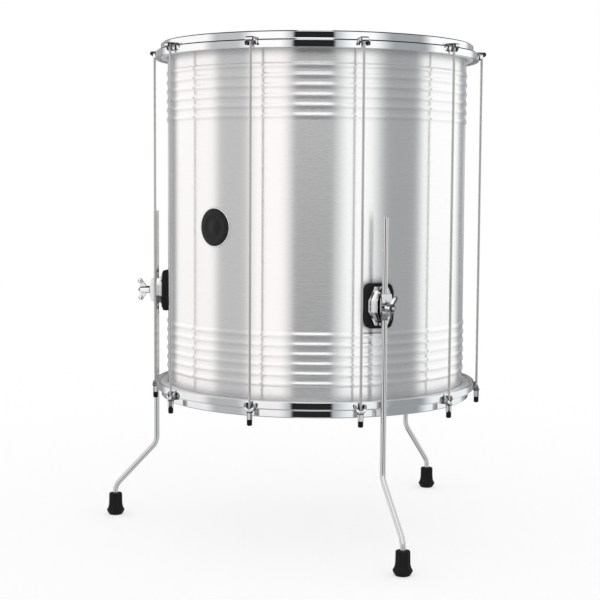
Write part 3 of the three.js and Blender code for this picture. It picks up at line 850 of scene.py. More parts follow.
def dressed(piece, material):
    piece.data.materials.clear()
    piece.data.materials.append(material)
    return piece


def fitted(piece, body, slot, *nodes):
    """Rides a piece on its body and hides the nodes that it stands for; the slot is not used."""
    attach(piece, body)
    if nodes:
        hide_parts(*nodes)


# Shell

def shell_skin():
    rows = round(2 * BEAD_ZONE_ROWS * (1 + END_ROWS_SHARE)) + PLAIN_ROWS
    zone_share = BEAD_ZONE_ROWS / rows
    skin = linked("shell_skin", bpy.data.meshes.new("shell_skin"))
    grown(skin, beaded_shell_tree(), {
        "Radius": SHELL_RADIUS * MM,
        "Depth": SHELL_DEPTH * MM,
        "Bottom": SHELL_BOTTOM * MM,
        "Bead count": float(BEAD_COUNT),
        "Bead pitch": BEAD_PITCH * MM,
        "Bead width": BEAD_WIDTH * MM,
        "Bead height": BEAD_HEIGHT * MM,
        "Bead inset": BEAD_INSET * MM,
        "Bead crown": BEAD_CROWN_SHARE,
        "Zone margin": BEAD_ZONE_MARGIN * MM,
        "Zone share": zone_share,
        "End share": zone_share * END_ROWS_SHARE,
        "Columns": SHELL_COLUMNS + 1,
        "Rows": rows + 1,
        "Drum axis": drum_axis,
        "Finish": BRUSHED,
    })
    modified(skin, "SOLIDIFY", thickness=SHELL_WALL * MM, offset=-1)
    fitted(crisp(skin, 50.0), "root", "shell_aluminium", "shell")


# Hoops and heads, drawn for the top and turned over for the bottom

def from_rim(profile, end):
    return [(r, RIM_TOP - d if end > 0 else RIM_BOTTOM + d) for r, d in profile]


def hoop(name, end, node):
    ledge = COLLAR_HEIGHT
    foot = COLLAR_HEIGHT + BAND_HEIGHT
    profile = rounded([
        (COLLAR_RADIUS - HOOP_SHEET, RIM_CURL_END, RIM_CURL_ROUNDS[0]),
        (COLLAR_RADIUS - RIM_WIDTH, RIM_CURL_DEPTH, RIM_CURL_ROUNDS[1]),
        (COLLAR_RADIUS - RIM_WIDTH, 0.0, SLOPE_ROUND),
        (COLLAR_RADIUS - RIM_SLOPE_DEPTH * SLOPE_RUN, 0.0, SLOPE_ROUND),
        (COLLAR_RADIUS, RIM_SLOPE_DEPTH, SLOPE_ROUND),
        (COLLAR_RADIUS, ledge, LEDGE_FILLET),
        (BAND_RADIUS - LEDGE_SLOPE_DEPTH * SLOPE_RUN, ledge, SLOPE_ROUND),
        (BAND_RADIUS, ledge + LEDGE_SLOPE_DEPTH, SLOPE_ROUND),
        (BAND_RADIUS, foot, BAND_LIP_ROUND),
        (BAND_RADIUS - HOOP_SHEET, foot, BAND_LIP_ROUND),
        (BAND_RADIUS - HOOP_SHEET, ledge + HOOP_SHEET, LEDGE_UNDER_ROUND),
        (COLLAR_RADIUS - HOOP_SHEET, ledge + HOOP_SHEET, LEDGE_FILLET),
    ])
    ring = on_axis(turned(name, from_rim(profile, end), segments=192))
    flat_faced(crisp(dressed(ring, HOOP_CHROME), 40.0))
    ring.data.materials.append(INNER_PLATING)
    for face in ring.data.polygons:
        outward = face.center - drum_axis
        inward = face.normal.x * outward.x + face.normal.y * outward.y < 0
        if inward and hypot(outward.x, outward.y) < (BAND_RADIUS - HOOP_SHEET / 2) * MM:
            face.material_index = 1
    fitted(ring, "root", "chrome", node)


def head(name, end, node):
    under = FILM_LEVEL + FILM_THICKNESS
    half_way = FILM_OUTSIDE * 0.5
    bend = arc((FILM_OUTSIDE - FILM_TURN, FILM_LEVEL + FILM_TURN), (FILM_TURN, FILM_TURN), -90.0, 0.0, 6)
    profile = [
        (0.0, FILM_LEVEL), (half_way, FILM_LEVEL), *bend,
        (FILM_OUTSIDE, FLESH_TOP), (FILM_INSIDE, FLESH_TOP),
        (FILM_INSIDE, under), (half_way, under), (0.0, under),
    ]
    film = on_axis(turned(f"{name}_film", from_rim(profile, end), segments=128))
    fitted(crisp(dressed(film, FILM), 50.0), "root", "head_film", node)
    section = rounded([
        (FILM_INSIDE, FLESH_TOP, FLESH_ROUND),
        (FLESH_RADIUS, FLESH_TOP, FLESH_ROUND),
        (FLESH_RADIUS, FLESH_BOTTOM, FLESH_ROUND),
        (FILM_INSIDE, FLESH_BOTTOM, FLESH_ROUND),
    ], steps=3)
    flesh = on_axis(turned(f"{name}_flesh_hoop", from_rim(section, end), segments=128))
    fitted(crisp(dressed(flesh, FLESH_METAL), 50.0), "root", "plain_steel")


# Tension rods and claws

def claw_outline():
    half_roof, half_foot = CLAW_ROOF_WIDTH / 2, CLAW_FOOT_WIDTH / 2
    side = bowed((half_foot, -CLAW_REACH), (half_foot, -CLAW_ROOF), (half_roof, CLAW_ROOF), 6)
    arch = arc((0.0, -CLAW_REACH), (CLAW_ARCH_WIDTH / 2, CLAW_ARCH_HEIGHT), 180.0, 0.0, 14)
    return side + [(-x, z) for x, z in reversed(side)] + arch


def ramp(value, start, full):
    return min(max((value - start) / (full - start), 0.0), 1.0)


def keep_painted_darkness(cast, darkness):
    """Keeps how much painted dark reflection and shade each face gets from its direction and place, for the
    finish to read.
    """
    slants = [darkness(face.normal, -face.center.y / MM) for face in cast.data.polygons]
    cast.data.attributes.new("painted_darkness", "FLOAT", "FACE").data.foreach_set("value", slants)
    return cast


def claw(name, end):
    """A cast arch hooked over the hoop's ledge: a rolled nose on the upper, a nut's seat on the lower."""
    hook_start = COLLAR_RADIUS + LEDGE_FILLET
    foot_back = BAND_RADIUS + 2 * SEAT_GAP
    foot_front = foot_back + CLAW_FOOT_DEPTH
    roof_front = foot_back + CLAW_ROOF_DEPTH
    cast = front_slab(name, claw_outline(), hook_start - OVERRUN, roof_front + OVERRUN)
    combined(cast, side_slab("side", rounded([
        (hook_start, SEAT_GAP, 0.0),
        (foot_back, SEAT_GAP, 0.0),
        (foot_back, -CLAW_REACH - OVERRUN, 0.0),
        (foot_front, -CLAW_REACH - OVERRUN, 0.0),
        (roof_front, -CLAW_ROOF, CLAW_FRONT_ROUND),
        (roof_front, CLAW_ROOF - CLAW_SLOPE_DEPTH, CLAW_EDGE_ROUND),
        (roof_front - CLAW_SLOPE_RUN, CLAW_ROOF, CLAW_EDGE_ROUND),
        (hook_start, CLAW_ROOF, 0.0),
    ]), CLAW_FOOT_WIDTH + 4 * OVERRUN), "INTERSECT")
    if end > 0:
        nose_centre = (ROD_CIRCLE + CLAW_NOSE_OUT, CLAW_ROOF - CLAW_NOSE_RADIUS)
        lump = side_slab("nose", arc(nose_centre, (CLAW_NOSE_RADIUS,) * 2, 0.0, 348.0, 29), CLAW_NOSE_WIDTH)
    else:
        lump = upright_tool(CLAW_SEAT_RADIUS, CLAW_ROOF - CLAW_SEAT_THICKNESS, CLAW_ROOF, ROD_CIRCLE)
    smoothed_casting(combined(cast, lump, "UNION"))

    # Painted dark reflection on slanted faces and on the nose's side ends, where the claws mirror the dark
    # studio
    def darkness(normal, distance):
        end_face = float(distance > foot_front + CLAW_END_MARGIN and abs(normal.x) > CLAW_END_FACE)
        lean = ramp(abs(normal.z), *CLAW_LEAN) * (1 - ramp(abs(normal.z), *CLAW_FLAT_TOP))
        return CLAW_PAINTED_DARKNESS_SHARE[end] * max(end_face, lean)

    keep_painted_darkness(cast, darkness)
    if end < 0:
        cast.data.transform(Matrix.Scale(-1, 4, Vector((0, 0, 1))))
        cast.data.flip_normals()
    return shifted(cast, height=from_rim([(0.0, COLLAR_HEIGHT)], end)[0][1])


def rod():
    """A round rod whose upper end swells into the claw."""
    foot = CAP_TOP - OVERRUN
    shoulder = RIM_TOP - COLLAR_HEIGHT - ROD_NECK_LENGTH
    levels = (foot, RIM_BOTTOM + COLLAR_HEIGHT, shoulder - 40.0, shoulder - 2.5)
    profile = [(0.0, foot)] + [(ROD_RADIUS, level) for level in levels]
    profile.append((ROD_RADIUS * ROD_SWELL, shoulder - 1.0))
    profile += [(ROD_NECK_RADIUS * share, shoulder + rise) for share, rise in ROD_NECK]
    return shifted(turned("tension_rods", profile, segments=20), distance=ROD_CIRCLE)


def end_cap():
    dome = arc((CAP_RADIUS - CAP_END_ROUND, CAP_BOTTOM + CAP_END_ROUND), (CAP_END_ROUND,) * 2, -90.0, 0.0, 5)
    lip = arc((CAP_RADIUS - CAP_LIP_ROUND, CAP_TOP - CAP_LIP_ROUND), (CAP_LIP_ROUND,) * 2, 0.0, 90.0, 3)
    profile = [(0.0, CAP_BOTTOM)] + dome + lip + [(0.0, CAP_TOP)]
    return shifted(turned("rod_end_caps", profile, segments=20), distance=ROD_CIRCLE)


def tuning_nut(name):
    """A six-sided nut with a bore for the rod, under a round washer."""
    sector = pi / NUT_SIDES
    washer_bottom = NUT_TOP - WASHER_THICKNESS

    def ring(level, size, hexagonal=False):
        points = []
        for step in range(NUT_STEPS):
            angle = 2 * pi * step / NUT_STEPS
            radius = size
            if hexagonal:
                off_flat = (angle + sector) % (2 * sector) - sector
                radius = min(size / cos(off_flat), NUT_FLAT_RADIUS * NUT_CORNER_SHARE / cos(sector))
            points.append((radius * sin(angle), radius * cos(angle), level))
        return points

    nut = solid(name, *loft([
        ring(NUT_BOTTOM, BORE_RADIUS),
        ring(NUT_BOTTOM, NUT_FLAT_RADIUS - NUT_CHAMFER),
        ring(NUT_BOTTOM + NUT_CHAMFER, NUT_FLAT_RADIUS, True),
        ring(washer_bottom - NUT_CHAMFER, NUT_FLAT_RADIUS, True),
        ring(washer_bottom, NUT_FLAT_RADIUS + WASHER_SEAT, True),
        ring(washer_bottom, WASHER_RADIUS - WASHER_ROUND),
        ring(washer_bottom + WASHER_ROUND, WASHER_RADIUS),
        ring(NUT_TOP - WASHER_ROUND, WASHER_RADIUS),
        ring(NUT_TOP, WASHER_RADIUS - WASHER_ROUND),
        ring(NUT_TOP, BORE_RADIUS),
        ring(NUT_BOTTOM, BORE_RADIUS),
    ], closed_ends=False))
    return crisp(shifted(nut, distance=ROD_CIRCLE), 30.0)


def tensioning():
    turns = [360.0 / ROD_COUNT * (i + 0.5) for i in range(ROD_COUNT)]
    numbers = [f"{i + 1:02d}" for i in range(ROD_COUNT)]
    for piece, finish, slot, node in (
        (crisp(rod(), 40.0), ROD_STEEL, "chrome", "hook_rod"),
        (claw("upper_claws", 1), CLAW_CHROME, "chrome", None),
        (end_cap(), CAP_PLASTIC, "rubber", None),
        (claw("lower_claws", -1), CLAW_CHROME, "chrome", "bottom_claw"),
    ):
        nodes = [f"{node}_{number}" for number in numbers] if node else []
        fitted(repeated(piece, finish, turns), "root", slot, *nodes)
    # The washer on top takes the black cap finish
    washer_level = (NUT_TOP - WASHER_THICKNESS - 0.01) * MM
    for number, turn in zip(numbers, turns):
        nut = repeated(tuning_nut(f"nut_{number}"), NUT_CHROME, [turn])
        nut.data.materials.append(CAP_PLASTIC)
        for face in nut.data.polygons:
            if face.center.z > washer_level:
                face.material_index = 1
        fitted(nut, f"nut_{number}_body", "chrome", f"tuning_nut_{number}")


# Badge

def wrapped(name, profile):
    """Turns a profile about the badge's axis and wraps it round the shell's front."""
    piece = turned_outward(name, profile, segments=96, level=BADGE_HEIGHT)
    for vertex in piece.data.vertices:
        x, y, z = vertex.co
        angle = x / (SHELL_RADIUS * MM)
        vertex.co = (-y * sin(angle), y * cos(angle), z)
    return on_axis(piece)


def badge():
    back = SHELL_RADIUS + SEAT_GAP
    front = back + BADGE_THICKNESS
    rim_inside = BADGE_RADIUS - BADGE_RIM_WIDTH
    ring = wrapped("badge_ring", rounded([
        (rim_inside, back, 0.0),
        (BADGE_RADIUS, back, 0.0),
        (BADGE_RADIUS, front, BADGE_RIM_ROUND),
        (rim_inside, front, BADGE_RIM_ROUND),
    ], steps=4))
    fitted(crisp(dressed(ring, SATIN_SILVER), 40.0), "root", "chrome")
    low = front - BADGE_RECESS
    raised = low + BADGE_STEP
    steps = [(rim_inside * share, low) for share in BADGE_LOW_SHARES]
    steps += [(rim_inside * share, raised) for share in BADGE_RAISED_SHARES]
    face = [(0.0, back), (rim_inside, back), (rim_inside, low), *sorted(steps, reverse=True), (0.0, raised)]
    disc = wrapped("badge_face", face)
    fitted(crisp(dressed(disc, ENAMEL), 25.0), "root", "badge_black", "badge")


# Legs and feet

def leg(name, tree, turn):
    """A bar bent twice, from its corners in (distance, height)."""
    lean = radians(LEG_LEAN)
    lower = LEG_LOWER_BEND + LEG_BEND_RADIUS * tan(lean / 2)
    corners = (
        (LEG_CIRCLE, LEG_TOP),
        (LEG_CIRCLE, lower + LEG_SPLAY / tan(lean)),
        (LEG_CIRCLE + LEG_SPLAY, lower),
        (LEG_CIRCLE + LEG_SPLAY, LEG_END),
    )
    mesh = bpy.data.meshes.new(name)
    mesh.from_pydata([Vector((0, -d, z)) * MM for d, z in corners], [(0, 1), (1, 2), (2, 3)], [])
    bar = grown(linked(name, mesh), tree, {
        "Bar radius": LEG_RADIUS * MM,
        "Bend radius": LEG_BEND_RADIUS * MM,
        "Bend steps": 16,
        "Facets": 32,
        "Finish": LEG_STEEL,
    })
    shape = bmesh.new()
    shape.from_mesh(bar.data)
    closed_outwards(shape)
    shape.to_mesh(bar.data)
    shape.free()
    edges_softened(bar, LEG_END_ROUND, segments=3, angle=60.0)
    return repeated(bar, LEG_STEEL, [turn])


def foot(name, tree, turn):
    """A rubber foot with a flared lip, a fluted neck and a socket for the leg."""
    neck_radius = FOOT_TOP_RADIUS + FOOT_NECK_SWELL
    neck = bowed((FOOT_FLARE_RADIUS, FOOT_FLARE_HEIGHT), (neck_radius + 0.2, FOOT_FLARE_HEIGHT + 3.5),
                 (neck_radius, FOOT_NECK_TOP), 10)
    lip = FOOT_FLARE_HEIGHT - FOOT_FLARE_LIP
    body = turned(name, [
        (0.0, 0.0),
        (FOOT_BASE_RADIUS - FOOT_BASE_ROUND, 0.0),
        (FOOT_BASE_RADIUS, 0.8),
        (FOOT_FLARE_RADIUS - FOOT_FLARE_ROUND, lip - 0.4),
        (FOOT_FLARE_RADIUS, lip + FOOT_FLARE_ROUND),
        (FOOT_FLARE_RADIUS, FOOT_FLARE_HEIGHT - 0.8),
        (FOOT_FLARE_RADIUS - 0.3, FOOT_FLARE_HEIGHT),
        *neck[2:],
        (FOOT_TOP_RADIUS, FOOT_HEIGHT - 1.0),
        (FOOT_TOP_RADIUS - FOOT_TOP_ROUND, FOOT_HEIGHT),
        (FOOT_SOCKET_RADIUS + 0.4, FOOT_HEIGHT),
        (FOOT_SOCKET_RADIUS, FOOT_HEIGHT - 0.6),
        (FOOT_SOCKET_RADIUS, FOOT_SOCKET_LEVEL),
        (0.0, FOOT_SOCKET_LEVEL),
    ], segments=120)
    grown(body, tree, {
        "Flute count": float(FLUTE_COUNT),
        "Flute depth": FLUTE_DEPTH * MM,
        "Sharpness": FLUTE_SHARPNESS,
        "Least radius": FLUTE_LEAST_RADIUS * MM,
        "Low level": FLUTE_START * MM,
        "Fade": FLUTE_FADE * MM,
        "Finish": RUBBER,
    })
    crisp(shifted(body, distance=LEG_CIRCLE + LEG_SPLAY), 45.0)
    return repeated(body, RUBBER, [turn])


def legs():
    bar_tree, foot_tree = bent_bar_tree(), flutes_tree()
    for number, turn in enumerate(LEG_TURNS, 1):
        body = f"leg_{number}_body"
        fitted(leg(f"leg_bar_{number}", bar_tree, turn), body, "chrome", f"leg_{number}")
        fitted(foot(f"leg_foot_{number}", foot_tree, turn), body, "rubber", f"foot_{number}")


# Leg brackets

def leg_channel():
    return upright_tool(CHANNEL_RADIUS, BRACKET_LEVEL - BLOCK_HEIGHT, BRACKET_LEVEL + BLOCK_HEIGHT)


def eye_slot():
    half = EYE_HALF_HEIGHT + SEAT_GAP
    return upright_tool(EYE_RADIUS + SEAT_GAP, BRACKET_LEVEL - half, BRACKET_LEVEL + half)


def gasket():
    """A thick rubber pad, hollowed to the shell and rounded off round its outer face."""
    def ring(inset, distance):
        width = GASKET_WIDTH - 2 * inset
        corners = pointed(width, width - 2 * GASKET_END_TAPER, GASKET_HEIGHT - 2 * inset, GASKET_SHOULDER,
                          *GASKET_CORNERS)
        return front_ring(rounded(corners), distance, BRACKET_LEVEL)

    rings = [ring(0.0, GASKET_BACK)]
    for step in range(GASKET_BEVEL_STEPS + 1):
        angle = pi / 2 * step / GASKET_BEVEL_STEPS
        rings.append(ring(GASKET_BEVEL * (1 - cos(angle)), GASKET_FRONT - GASKET_BEVEL * (1 - sin(angle))))
    pad = solid("bracket_gaskets", *loft(rings))
    low, high = BRACKET_LEVEL - GASKET_HEIGHT, BRACKET_LEVEL + GASKET_HEIGHT
    combined(pad, upright_tool(SHELL_RADIUS + SEAT_GAP, low, high, distance=0.0, segments=320))
    return crisp(pad, 40.0)


# Painted shade on faces that point down
def underside_painted_shade(normal, distance):
    return 0.9 * ramp(-normal.z, 0.12, 0.3)


# Painted dark reflection on faces that point up or outwards, where the wings mirror dark parts of the studio
def wing_painted_reflection(normal, distance):
    return 0.95 * max(ramp(normal.z, 0.45, 0.6), ramp(-normal.y, 0.3, 0.5))


def bracket_base():
    """A drafted plate, a flare and a block that narrows towards the leg."""
    draft = PLATE_DRAFT
    base = solid("bracket_bases", *loft([
        front_ring(rounded(pointed(*size, WAIST_HEIGHT, *BASE_CORNERS), steps=4), distance, BRACKET_LEVEL)
        for *size, distance in (
            (PLATE_WIDTH, PLATE_END_WIDTH, PLATE_HEIGHT, PLATE_BACK),
            (PLATE_WIDTH - draft, PLATE_END_WIDTH - draft, PLATE_HEIGHT - draft, PLATE_FRONT),
            (FLARE_WIDTH, FLARE_END_WIDTH, FLARE_HEIGHT, PLATE_FRONT + 0.01),
            (BLOCK_ROOT_WIDTH, BLOCK_END_WIDTH, BLOCK_ROOT_HEIGHT, PLATE_FRONT + FLARE_DEPTH),
            (BLOCK_WIDTH, BLOCK_END_WIDTH, BLOCK_HEIGHT, BLOCK_FRONT),
        )
    ]))
    combined(base, leg_channel())
    combined(base, eye_slot())
    return keep_painted_darkness(edges_softened(base, 0.7, segments=2, angle=24.0), underside_painted_shade)


def screws():
    """Two dome-headed screws with crossed slots, through the pad and the shell."""
    made = []
    front = PLATE_FRONT + SCREW_HEAD_HEIGHT
    dome_radii = (SCREW_HEAD_RADIUS, SCREW_HEAD_HEIGHT - SCREW_HEAD_EDGE)
    profile = [
        (0.0, SCREW_TIP),
        (SCREW_RADIUS - SCREW_POINT, SCREW_TIP),
        (SCREW_RADIUS, SCREW_TIP + SCREW_POINT),
        (SCREW_RADIUS, PLATE_FRONT),
        (SCREW_HEAD_RADIUS, PLATE_FRONT),
        *arc((0.0, PLATE_FRONT + SCREW_HEAD_EDGE), dome_radii, 0.0, 90.0, 6),
    ]
    x, z = SLOT_LENGTH / 2, SLOT_WIDTH / 2
    for level in SCREW_LEVELS:
        screw = turned_outward("screw", profile, segments=32, level=level)
        for turn in (45.0, 135.0):
            slot = front_slab("slot", [(-x, -z), (x, -z), (x, z), (-x, z)],
                              front - SLOT_DEPTH, front + OVERRUN)
            slot.data.transform(Matrix.Rotation(radians(turn), 4, "Y"))
            combined(screw, shifted(slot, height=level))
        made.append(crisp(screw, 35.0))
    return crisp(joined("bracket_screws", made), 35.0)


def backing_plate():
    x, z, corner = BACKING_WIDTH / 2, BACKING_HEIGHT / 2, BACKING_WIDTH / 4
    outline = rounded([(x, -z, corner), (x, z, corner), (-x, z, corner), (-x, -z, corner)])
    plate = front_slab("backing_plates", outline, BACKING_BACK, BACKING_FRONT, BRACKET_LEVEL)
    for level in SCREW_LEVELS:
        combined(plate, outward_tool(SCREW_RADIUS + BACKING_HOLE, BACKING_BACK - OVERRUN,
                                     BACKING_FRONT + OVERRUN, segments=24, level=level))
    return edges_softened(plate, 0.35, segments=2)


def stem_profile():
    """A threaded stem with a chamfered end."""
    profile = [(0.0, STEM_BACK), (STEM_RADIUS, STEM_BACK)]
    distance = (STEM_BACK + STEM_END) / 2
    while distance < STEM_END - THREAD_PITCH:
        profile.append((STEM_RADIUS, distance))
        profile.append((STEM_RADIUS - THREAD_DEPTH, distance + THREAD_PITCH / 2))
        distance += THREAD_PITCH
    return profile + [(STEM_RADIUS, distance), (STEM_RADIUS - STEM_CHAMFER, STEM_END), (0.0, STEM_END)]


def eye_bolt():
    low, high = BRACKET_LEVEL - EYE_HALF_HEIGHT, BRACKET_LEVEL + EYE_HALF_HEIGHT
    eye = combined(upright_tool(EYE_RADIUS, low, high, segments=48), leg_channel())
    edges_softened(eye, 0.9, segments=3)
    stem = turned_outward("stem", stem_profile(), segments=32)
    return crisp(joined("eye_bolts", [eye, stem]), 35.0)


def clamp_jaw(name):
    """A clamp half that thins to its ends, with a groove for the leg."""
    half, flat = JAW_HEIGHT / 2, JAW_FLAT_HEIGHT / 2
    end_round, front_round = JAW_ROUNDS
    jaw = side_slab(name, rounded([
        (JAW_BACK, -half, 0.0),
        (JAW_BACK + JAW_END_THICKNESS, -half, end_round),
        (JAW_FRONT, -flat, front_round),
        (JAW_FRONT, flat, front_round),
        (JAW_BACK + JAW_END_THICKNESS, half, end_round),
        (JAW_BACK, half, 0.0),
    ], steps=4), JAW_WIDTH, BRACKET_LEVEL)
    bore = outward_tool(STEM_RADIUS + SEAT_GAP, LEG_CIRCLE, JAW_FRONT + OVERRUN)
    for tool in (leg_channel(), eye_slot(), bore):
        combined(jaw, tool)
    return keep_painted_darkness(edges_softened(jaw, 0.9, segments=3, angle=28.0), underside_painted_shade)


def wing_nut(name, turn):
    """A cast hub with two wings that end in round pads, its corners filled as in a casting."""
    back_round, front_round = HUB_ROUNDS
    hub = turned_outward(name, [
        (0.0, HUB_BACK), (HUB_RADIUS - back_round, HUB_BACK), (HUB_RADIUS, HUB_BACK + back_round),
        (HUB_RADIUS, HUB_BACK + HUB_COLLAR), (HUB_TIP_RADIUS, HUB_FRONT - front_round),
        (HUB_TIP_RADIUS - front_round, HUB_FRONT), (0.0, HUB_FRONT),
    ])
    tip = WING_HALF_SPAN - WING_TIP_RADIUS
    for side in (1, -1):
        lobe = arc((WING_TIP_DISTANCE, side * tip), (WING_TIP_RADIUS,) * 2, side * -60.0, side * 170.0, 12)
        root = [(WING_ROOT_BACK, side * HUB_TIP_RADIUS), (WING_ROOT_BACK, 0.0)]
        wing = side_slab("wing", [(WING_NOTCH, 0.0)] + lobe + root, WING_THICKNESS, BRACKET_LEVEL)
        combined(hub, wing, "UNION")
        pad = turned("pad", arc((0.0, 0.0), (WING_TIP_RADIUS, WING_PAD_HALF), -90.0, 90.0, 12), segments=24)
        pad.data.transform(Matrix.Rotation(pi / 2, 4, "Y"))
        combined(hub, shifted(pad, distance=WING_TIP_DISTANCE, height=BRACKET_LEVEL + side * tip), "UNION")
    smoothed_casting(hub)
    combined(hub, outward_tool(STEM_RADIUS + SEAT_GAP, HUB_BACK - OVERRUN, HUB_FRONT + OVERRUN))
    centre = Matrix.Translation(Vector((0, 0, BRACKET_LEVEL * MM)))
    hub.data.transform(centre @ Matrix.Rotation(radians(turn), 4, "Y") @ centre.inverted())
    return keep_painted_darkness(crisp(hub, 50.0), wing_painted_reflection)


def brackets():
    for piece, finish, slot, node in (
        (gasket(), RUBBER, "rubber", "bracket_gasket"),
        (bracket_base(), CAST_CHROME, "chrome", "bracket_base"),
        (backing_plate(), ZINC, "plain_steel", "backing_plate"),
        (eye_bolt(), NUT_CHROME, "chrome", "eye_bolt"),
    ):
        nodes = [f"{node}_{number}" for number in range(1, len(LEG_TURNS) + 1)]
        fitted(repeated(piece, finish, LEG_TURNS), "root", slot, *nodes)
    fitted(repeated(screws(), NUT_CHROME, LEG_TURNS), "root", "chrome")
    for number, (turn, wing_turn) in enumerate(zip(LEG_TURNS, WING_TURNS), 1):
        jaw = repeated(clamp_jaw(f"jaw_{number}"), CAST_CHROME, [turn])
        fitted(jaw, f"jaw_{number}_body", "chrome", f"clamp_jaw_{number}")
        nut = repeated(wing_nut(f"wing_{number}", wing_turn), CAST_CHROME, [turn])
        fitted(nut, f"wing_{number}_body", "chrome", f"wing_nut_{number}")


# Camera, in degrees and metres

CAMERA_AZIMUTH = 39.31
CAMERA_DISTANCE = 2.647
CAMERA_HEIGHT = 0.6601
CAMERA_PITCH = 4.925
CAMERA_YAW = 0.589
CAMERA_ROLL = 0.449
CAMERA_LENS = 83.98
CAMERA_SHIFT = (-0.05, -0.0036)
SENSOR_WIDTH = 36.0


def camera():
    lens = bpy.data.cameras.new("photo_camera")
    lens.sensor_fit = "HORIZONTAL"
    lens.sensor_width = SENSOR_WIDTH
    lens.lens = CAMERA_LENS
    lens.shift_x, lens.shift_y = CAMERA_SHIFT
    lens.clip_start, lens.clip_end = 0.05, 50.0
    round_drum = Matrix.Rotation(radians(CAMERA_AZIMUTH), 4, "Z")
    stand = drum_axis + round_drum @ Vector((0, -CAMERA_DISTANCE, CAMERA_HEIGHT))
    place = Matrix.Translation(stand) @ round_drum @ Matrix.Rotation(pi / 2, 4, "X")
    for degrees, axis in ((-CAMERA_YAW, "Y"), (-CAMERA_PITCH, "X"), (CAMERA_ROLL, "Z")):
        place = place @ Matrix.Rotation(radians(degrees), 4, axis)
    view = linked("photo_camera", lens)
    view.matrix_world = place
    bpy.context.scene.camera = view


# Studio: a white room for the eye and for matt surfaces, softboxes and a dark gap for polished ones.
# A turn is measured round the drum from the front and a lift up from level, in degrees, as mirrored

STUDIO_FRONT = 39.2
ROOM_LEVEL = 0.39
BACKDROP_LEVEL = 0.68
BACKDROP_HALF = 23.0
BACKDROP_EDGE = 10.0
BACKDROP_FALL = 0.45
BACKDROP_FALL_LIFTS = (8.0, 16.0)
BELOW_GAIN = 0.86
BELOW_LIFTS = (-4.5, 0.5)
ABOVE_GAIN = 1.1
ABOVE_LIFTS = (6.0, 18.0)
BRIGHTEST = 1.07
CEILING_LIFT = 46.0
FLOOR_LIFT = 43.0
DOOR_TURN = -2.2
DOOR_HALF = 14.2
DOOR_EDGE = 3.0
DOOR_BOTTOM = -7.5
DOOR_TOP = 5.5
SHADOW_STRENGTH = 0.45
WHITE = (1.0, 1.0, 1.0, 1.0)
COOL = (0.955, 1.0, 1.03, 1.0)
WARM = (1.02, 0.99, 0.98, 1.0)
NEUTRAL = (0.995, 1.0, 0.995, 1.0)
WARM_SIDE = (-90.0, 80.0, 10.0)

# Soft lights round the room: turn, half width, soft edge, level
ROOM_LIGHTS = (
    (-64.0, 24.0, 14.0, 0.56),
    (-108.0, 27.0, 12.0, 1.03),
    (112.5, 27.5, 14.0, 1.07),
    (-35.0, 15.5, 14.0, 1.07),
    (32.0, 15.0, 18.0, 1.07),
)

# The dark ceiling and the grey floor: lift, half height, soft edge, level
CEILING_AND_FLOOR = (
    (90.0, 90.0 - CEILING_LIFT, 8.0, 0.03),
    (-90.0, 90.0 - FLOOR_LIFT, 10.0, 0.36),
)

# The dark doorway in front, the lit wall over it and what lies below and overhead, in the same way
DOORWAY = (
    (30.0, 90.0, 1.0, 1.2),
    (-60.0, 60.0 + DOOR_BOTTOM, 3.0, 0.28),
    ((DOOR_TOP + DOOR_BOTTOM) / 2, (DOOR_TOP - DOOR_BOTTOM) / 2, 3.0, 0.02),
    (80.0, 80.0 - CEILING_LIFT, 8.0, 0.72),
    (-80.0, 80.0 - FLOOR_LIFT, 8.0, 0.6),
)


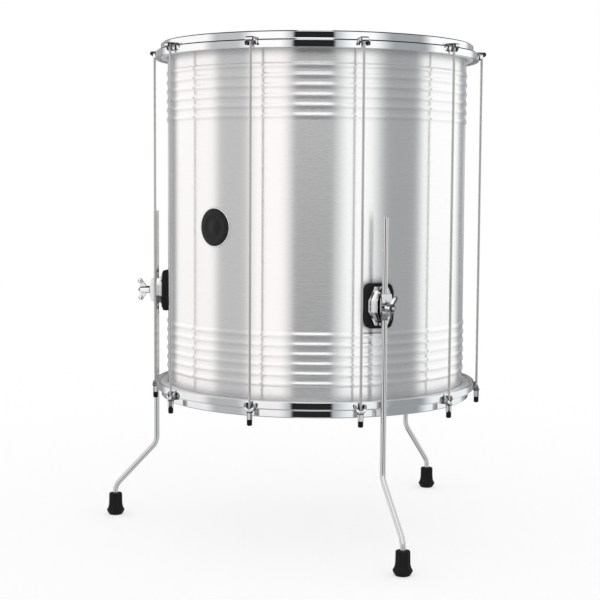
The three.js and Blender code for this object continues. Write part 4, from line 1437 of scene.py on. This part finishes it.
def studio():
    """A world whose lights stand in upright columns, each from floor to ceiling as the drum mirrors it."""
    world = bpy.data.worlds.new("studio")
    world.use_nodes = True
    world.cycles.sampling_method = "NONE"
    bpy.context.scene.world = world
    build = Builder(world.node_tree)
    build.nodes.clear()
    ahead = build.node("ShaderNodeTexCoord", output="Generated")
    place = build.split(build.node("ShaderNodeVectorRotate", {
        "Vector": ahead, "Angle": radians(-STUDIO_FRONT),
    }, rotation_type="Z_AXIS"))
    nearness = 1.0001 - place["Y"]
    turn = build.math("DEGREES", build.math("ARCTAN2", place["X"], nearness)) * 2.0
    level_reach = build.math("SQRT", nearness * nearness + place["X"] * place["X"])
    lift = build.math("DEGREES", build.math("ARCTAN2", place["Z"], level_reach))

    def inside(value, centre, half, edge):
        off = build.math("ABSOLUTE", value - centre)
        return build.ranged(off, half - edge / 2, half + edge / 2, 1.0, 0.0, smooth=True)

    def lit(before, mask, strength):
        return build.node("ShaderNodeMix", {0: mask, 2: before, 3: strength})

    def layered(level, value, layers):
        for centre, half, edge, strength in layers:
            level = lit(level, inside(value, centre, half, edge), strength)
        return level

    backdrop = build.ranged(build.math("ABSOLUTE", lift), *BACKDROP_FALL_LIFTS, BACKDROP_LEVEL,
                            BACKDROP_LEVEL * BACKDROP_FALL)
    level = layered(ROOM_LEVEL, turn, ROOM_LIGHTS)
    level = layered(level, turn, [(side, BACKDROP_HALF, BACKDROP_EDGE, backdrop) for side in (-180.0, 180.0)])
    level = level * build.ranged(lift, *BELOW_LIFTS, BELOW_GAIN, 1.0)
    level = level * build.ranged(lift, *ABOVE_LIFTS, 1.0, ABOVE_GAIN)
    level = layered(build.math("MINIMUM", level, BRIGHTEST), lift, CEILING_AND_FLOOR)
    level = lit(level, inside(turn, DOOR_TURN, DOOR_HALF, DOOR_EDGE), layered(level, lift, DOORWAY))
    light = build.blended(inside(turn, *WARM_SIDE), NEUTRAL, WARM)
    tone = build.blended(level, COOL, light)
    polished = build.node("ShaderNodeBackground", {"Color": tone, "Strength": level})
    white = build.node("ShaderNodeBackground", {"Color": WHITE, "Strength": 1.0})
    glossy = build.node("ShaderNodeLightPath", output="Is Glossy Ray")
    mixed = build.node("ShaderNodeMixShader", {0: glossy, 1: white, 2: polished})
    build.added("ShaderNodeOutputWorld", {0: mixed})


def floor():
    """A white floor that keeps the drum's shadow; polished metal sees the studio through it."""
    material = bpy.data.materials.new("pale_floor")
    material.use_nodes = True
    build = Builder(material.node_tree)
    build.nodes.clear()
    matt = build.node("ShaderNodeBsdfDiffuse", {"Color": WHITE})
    white = build.node("ShaderNodeEmission", {"Color": WHITE, "Strength": 1.0})
    clear = build.node("ShaderNodeBsdfTransparent")
    rays = build.fields("ShaderNodeLightPath")
    share = rays["Is Camera Ray"] * (1.0 - SHADOW_STRENGTH)
    seen = build.node("ShaderNodeMixShader", {0: share, 1: matt, 2: white})
    mixed = build.node("ShaderNodeMixShader", {0: rays["Is Glossy Ray"], 1: seen, 2: clear})
    build.added("ShaderNodeOutputMaterial", {0: mixed})
    ground = turned("studio_floor", [(0.0, 0.0), (6000.0, 0.0)], segments=64)
    dressed(ground, material)


bpy.context.scene.view_settings.view_transform = "Standard"
camera()
studio()
floor()
shell_skin()
hoop("top_hoop_pressing", 1, "top_hoop")
hoop("bottom_hoop_pressing", -1, "bottom_hoop")
head("batter", 1, "batter_head")
head("resonant", -1, "resonant_head")
tensioning()
badge()
legs()
brackets()
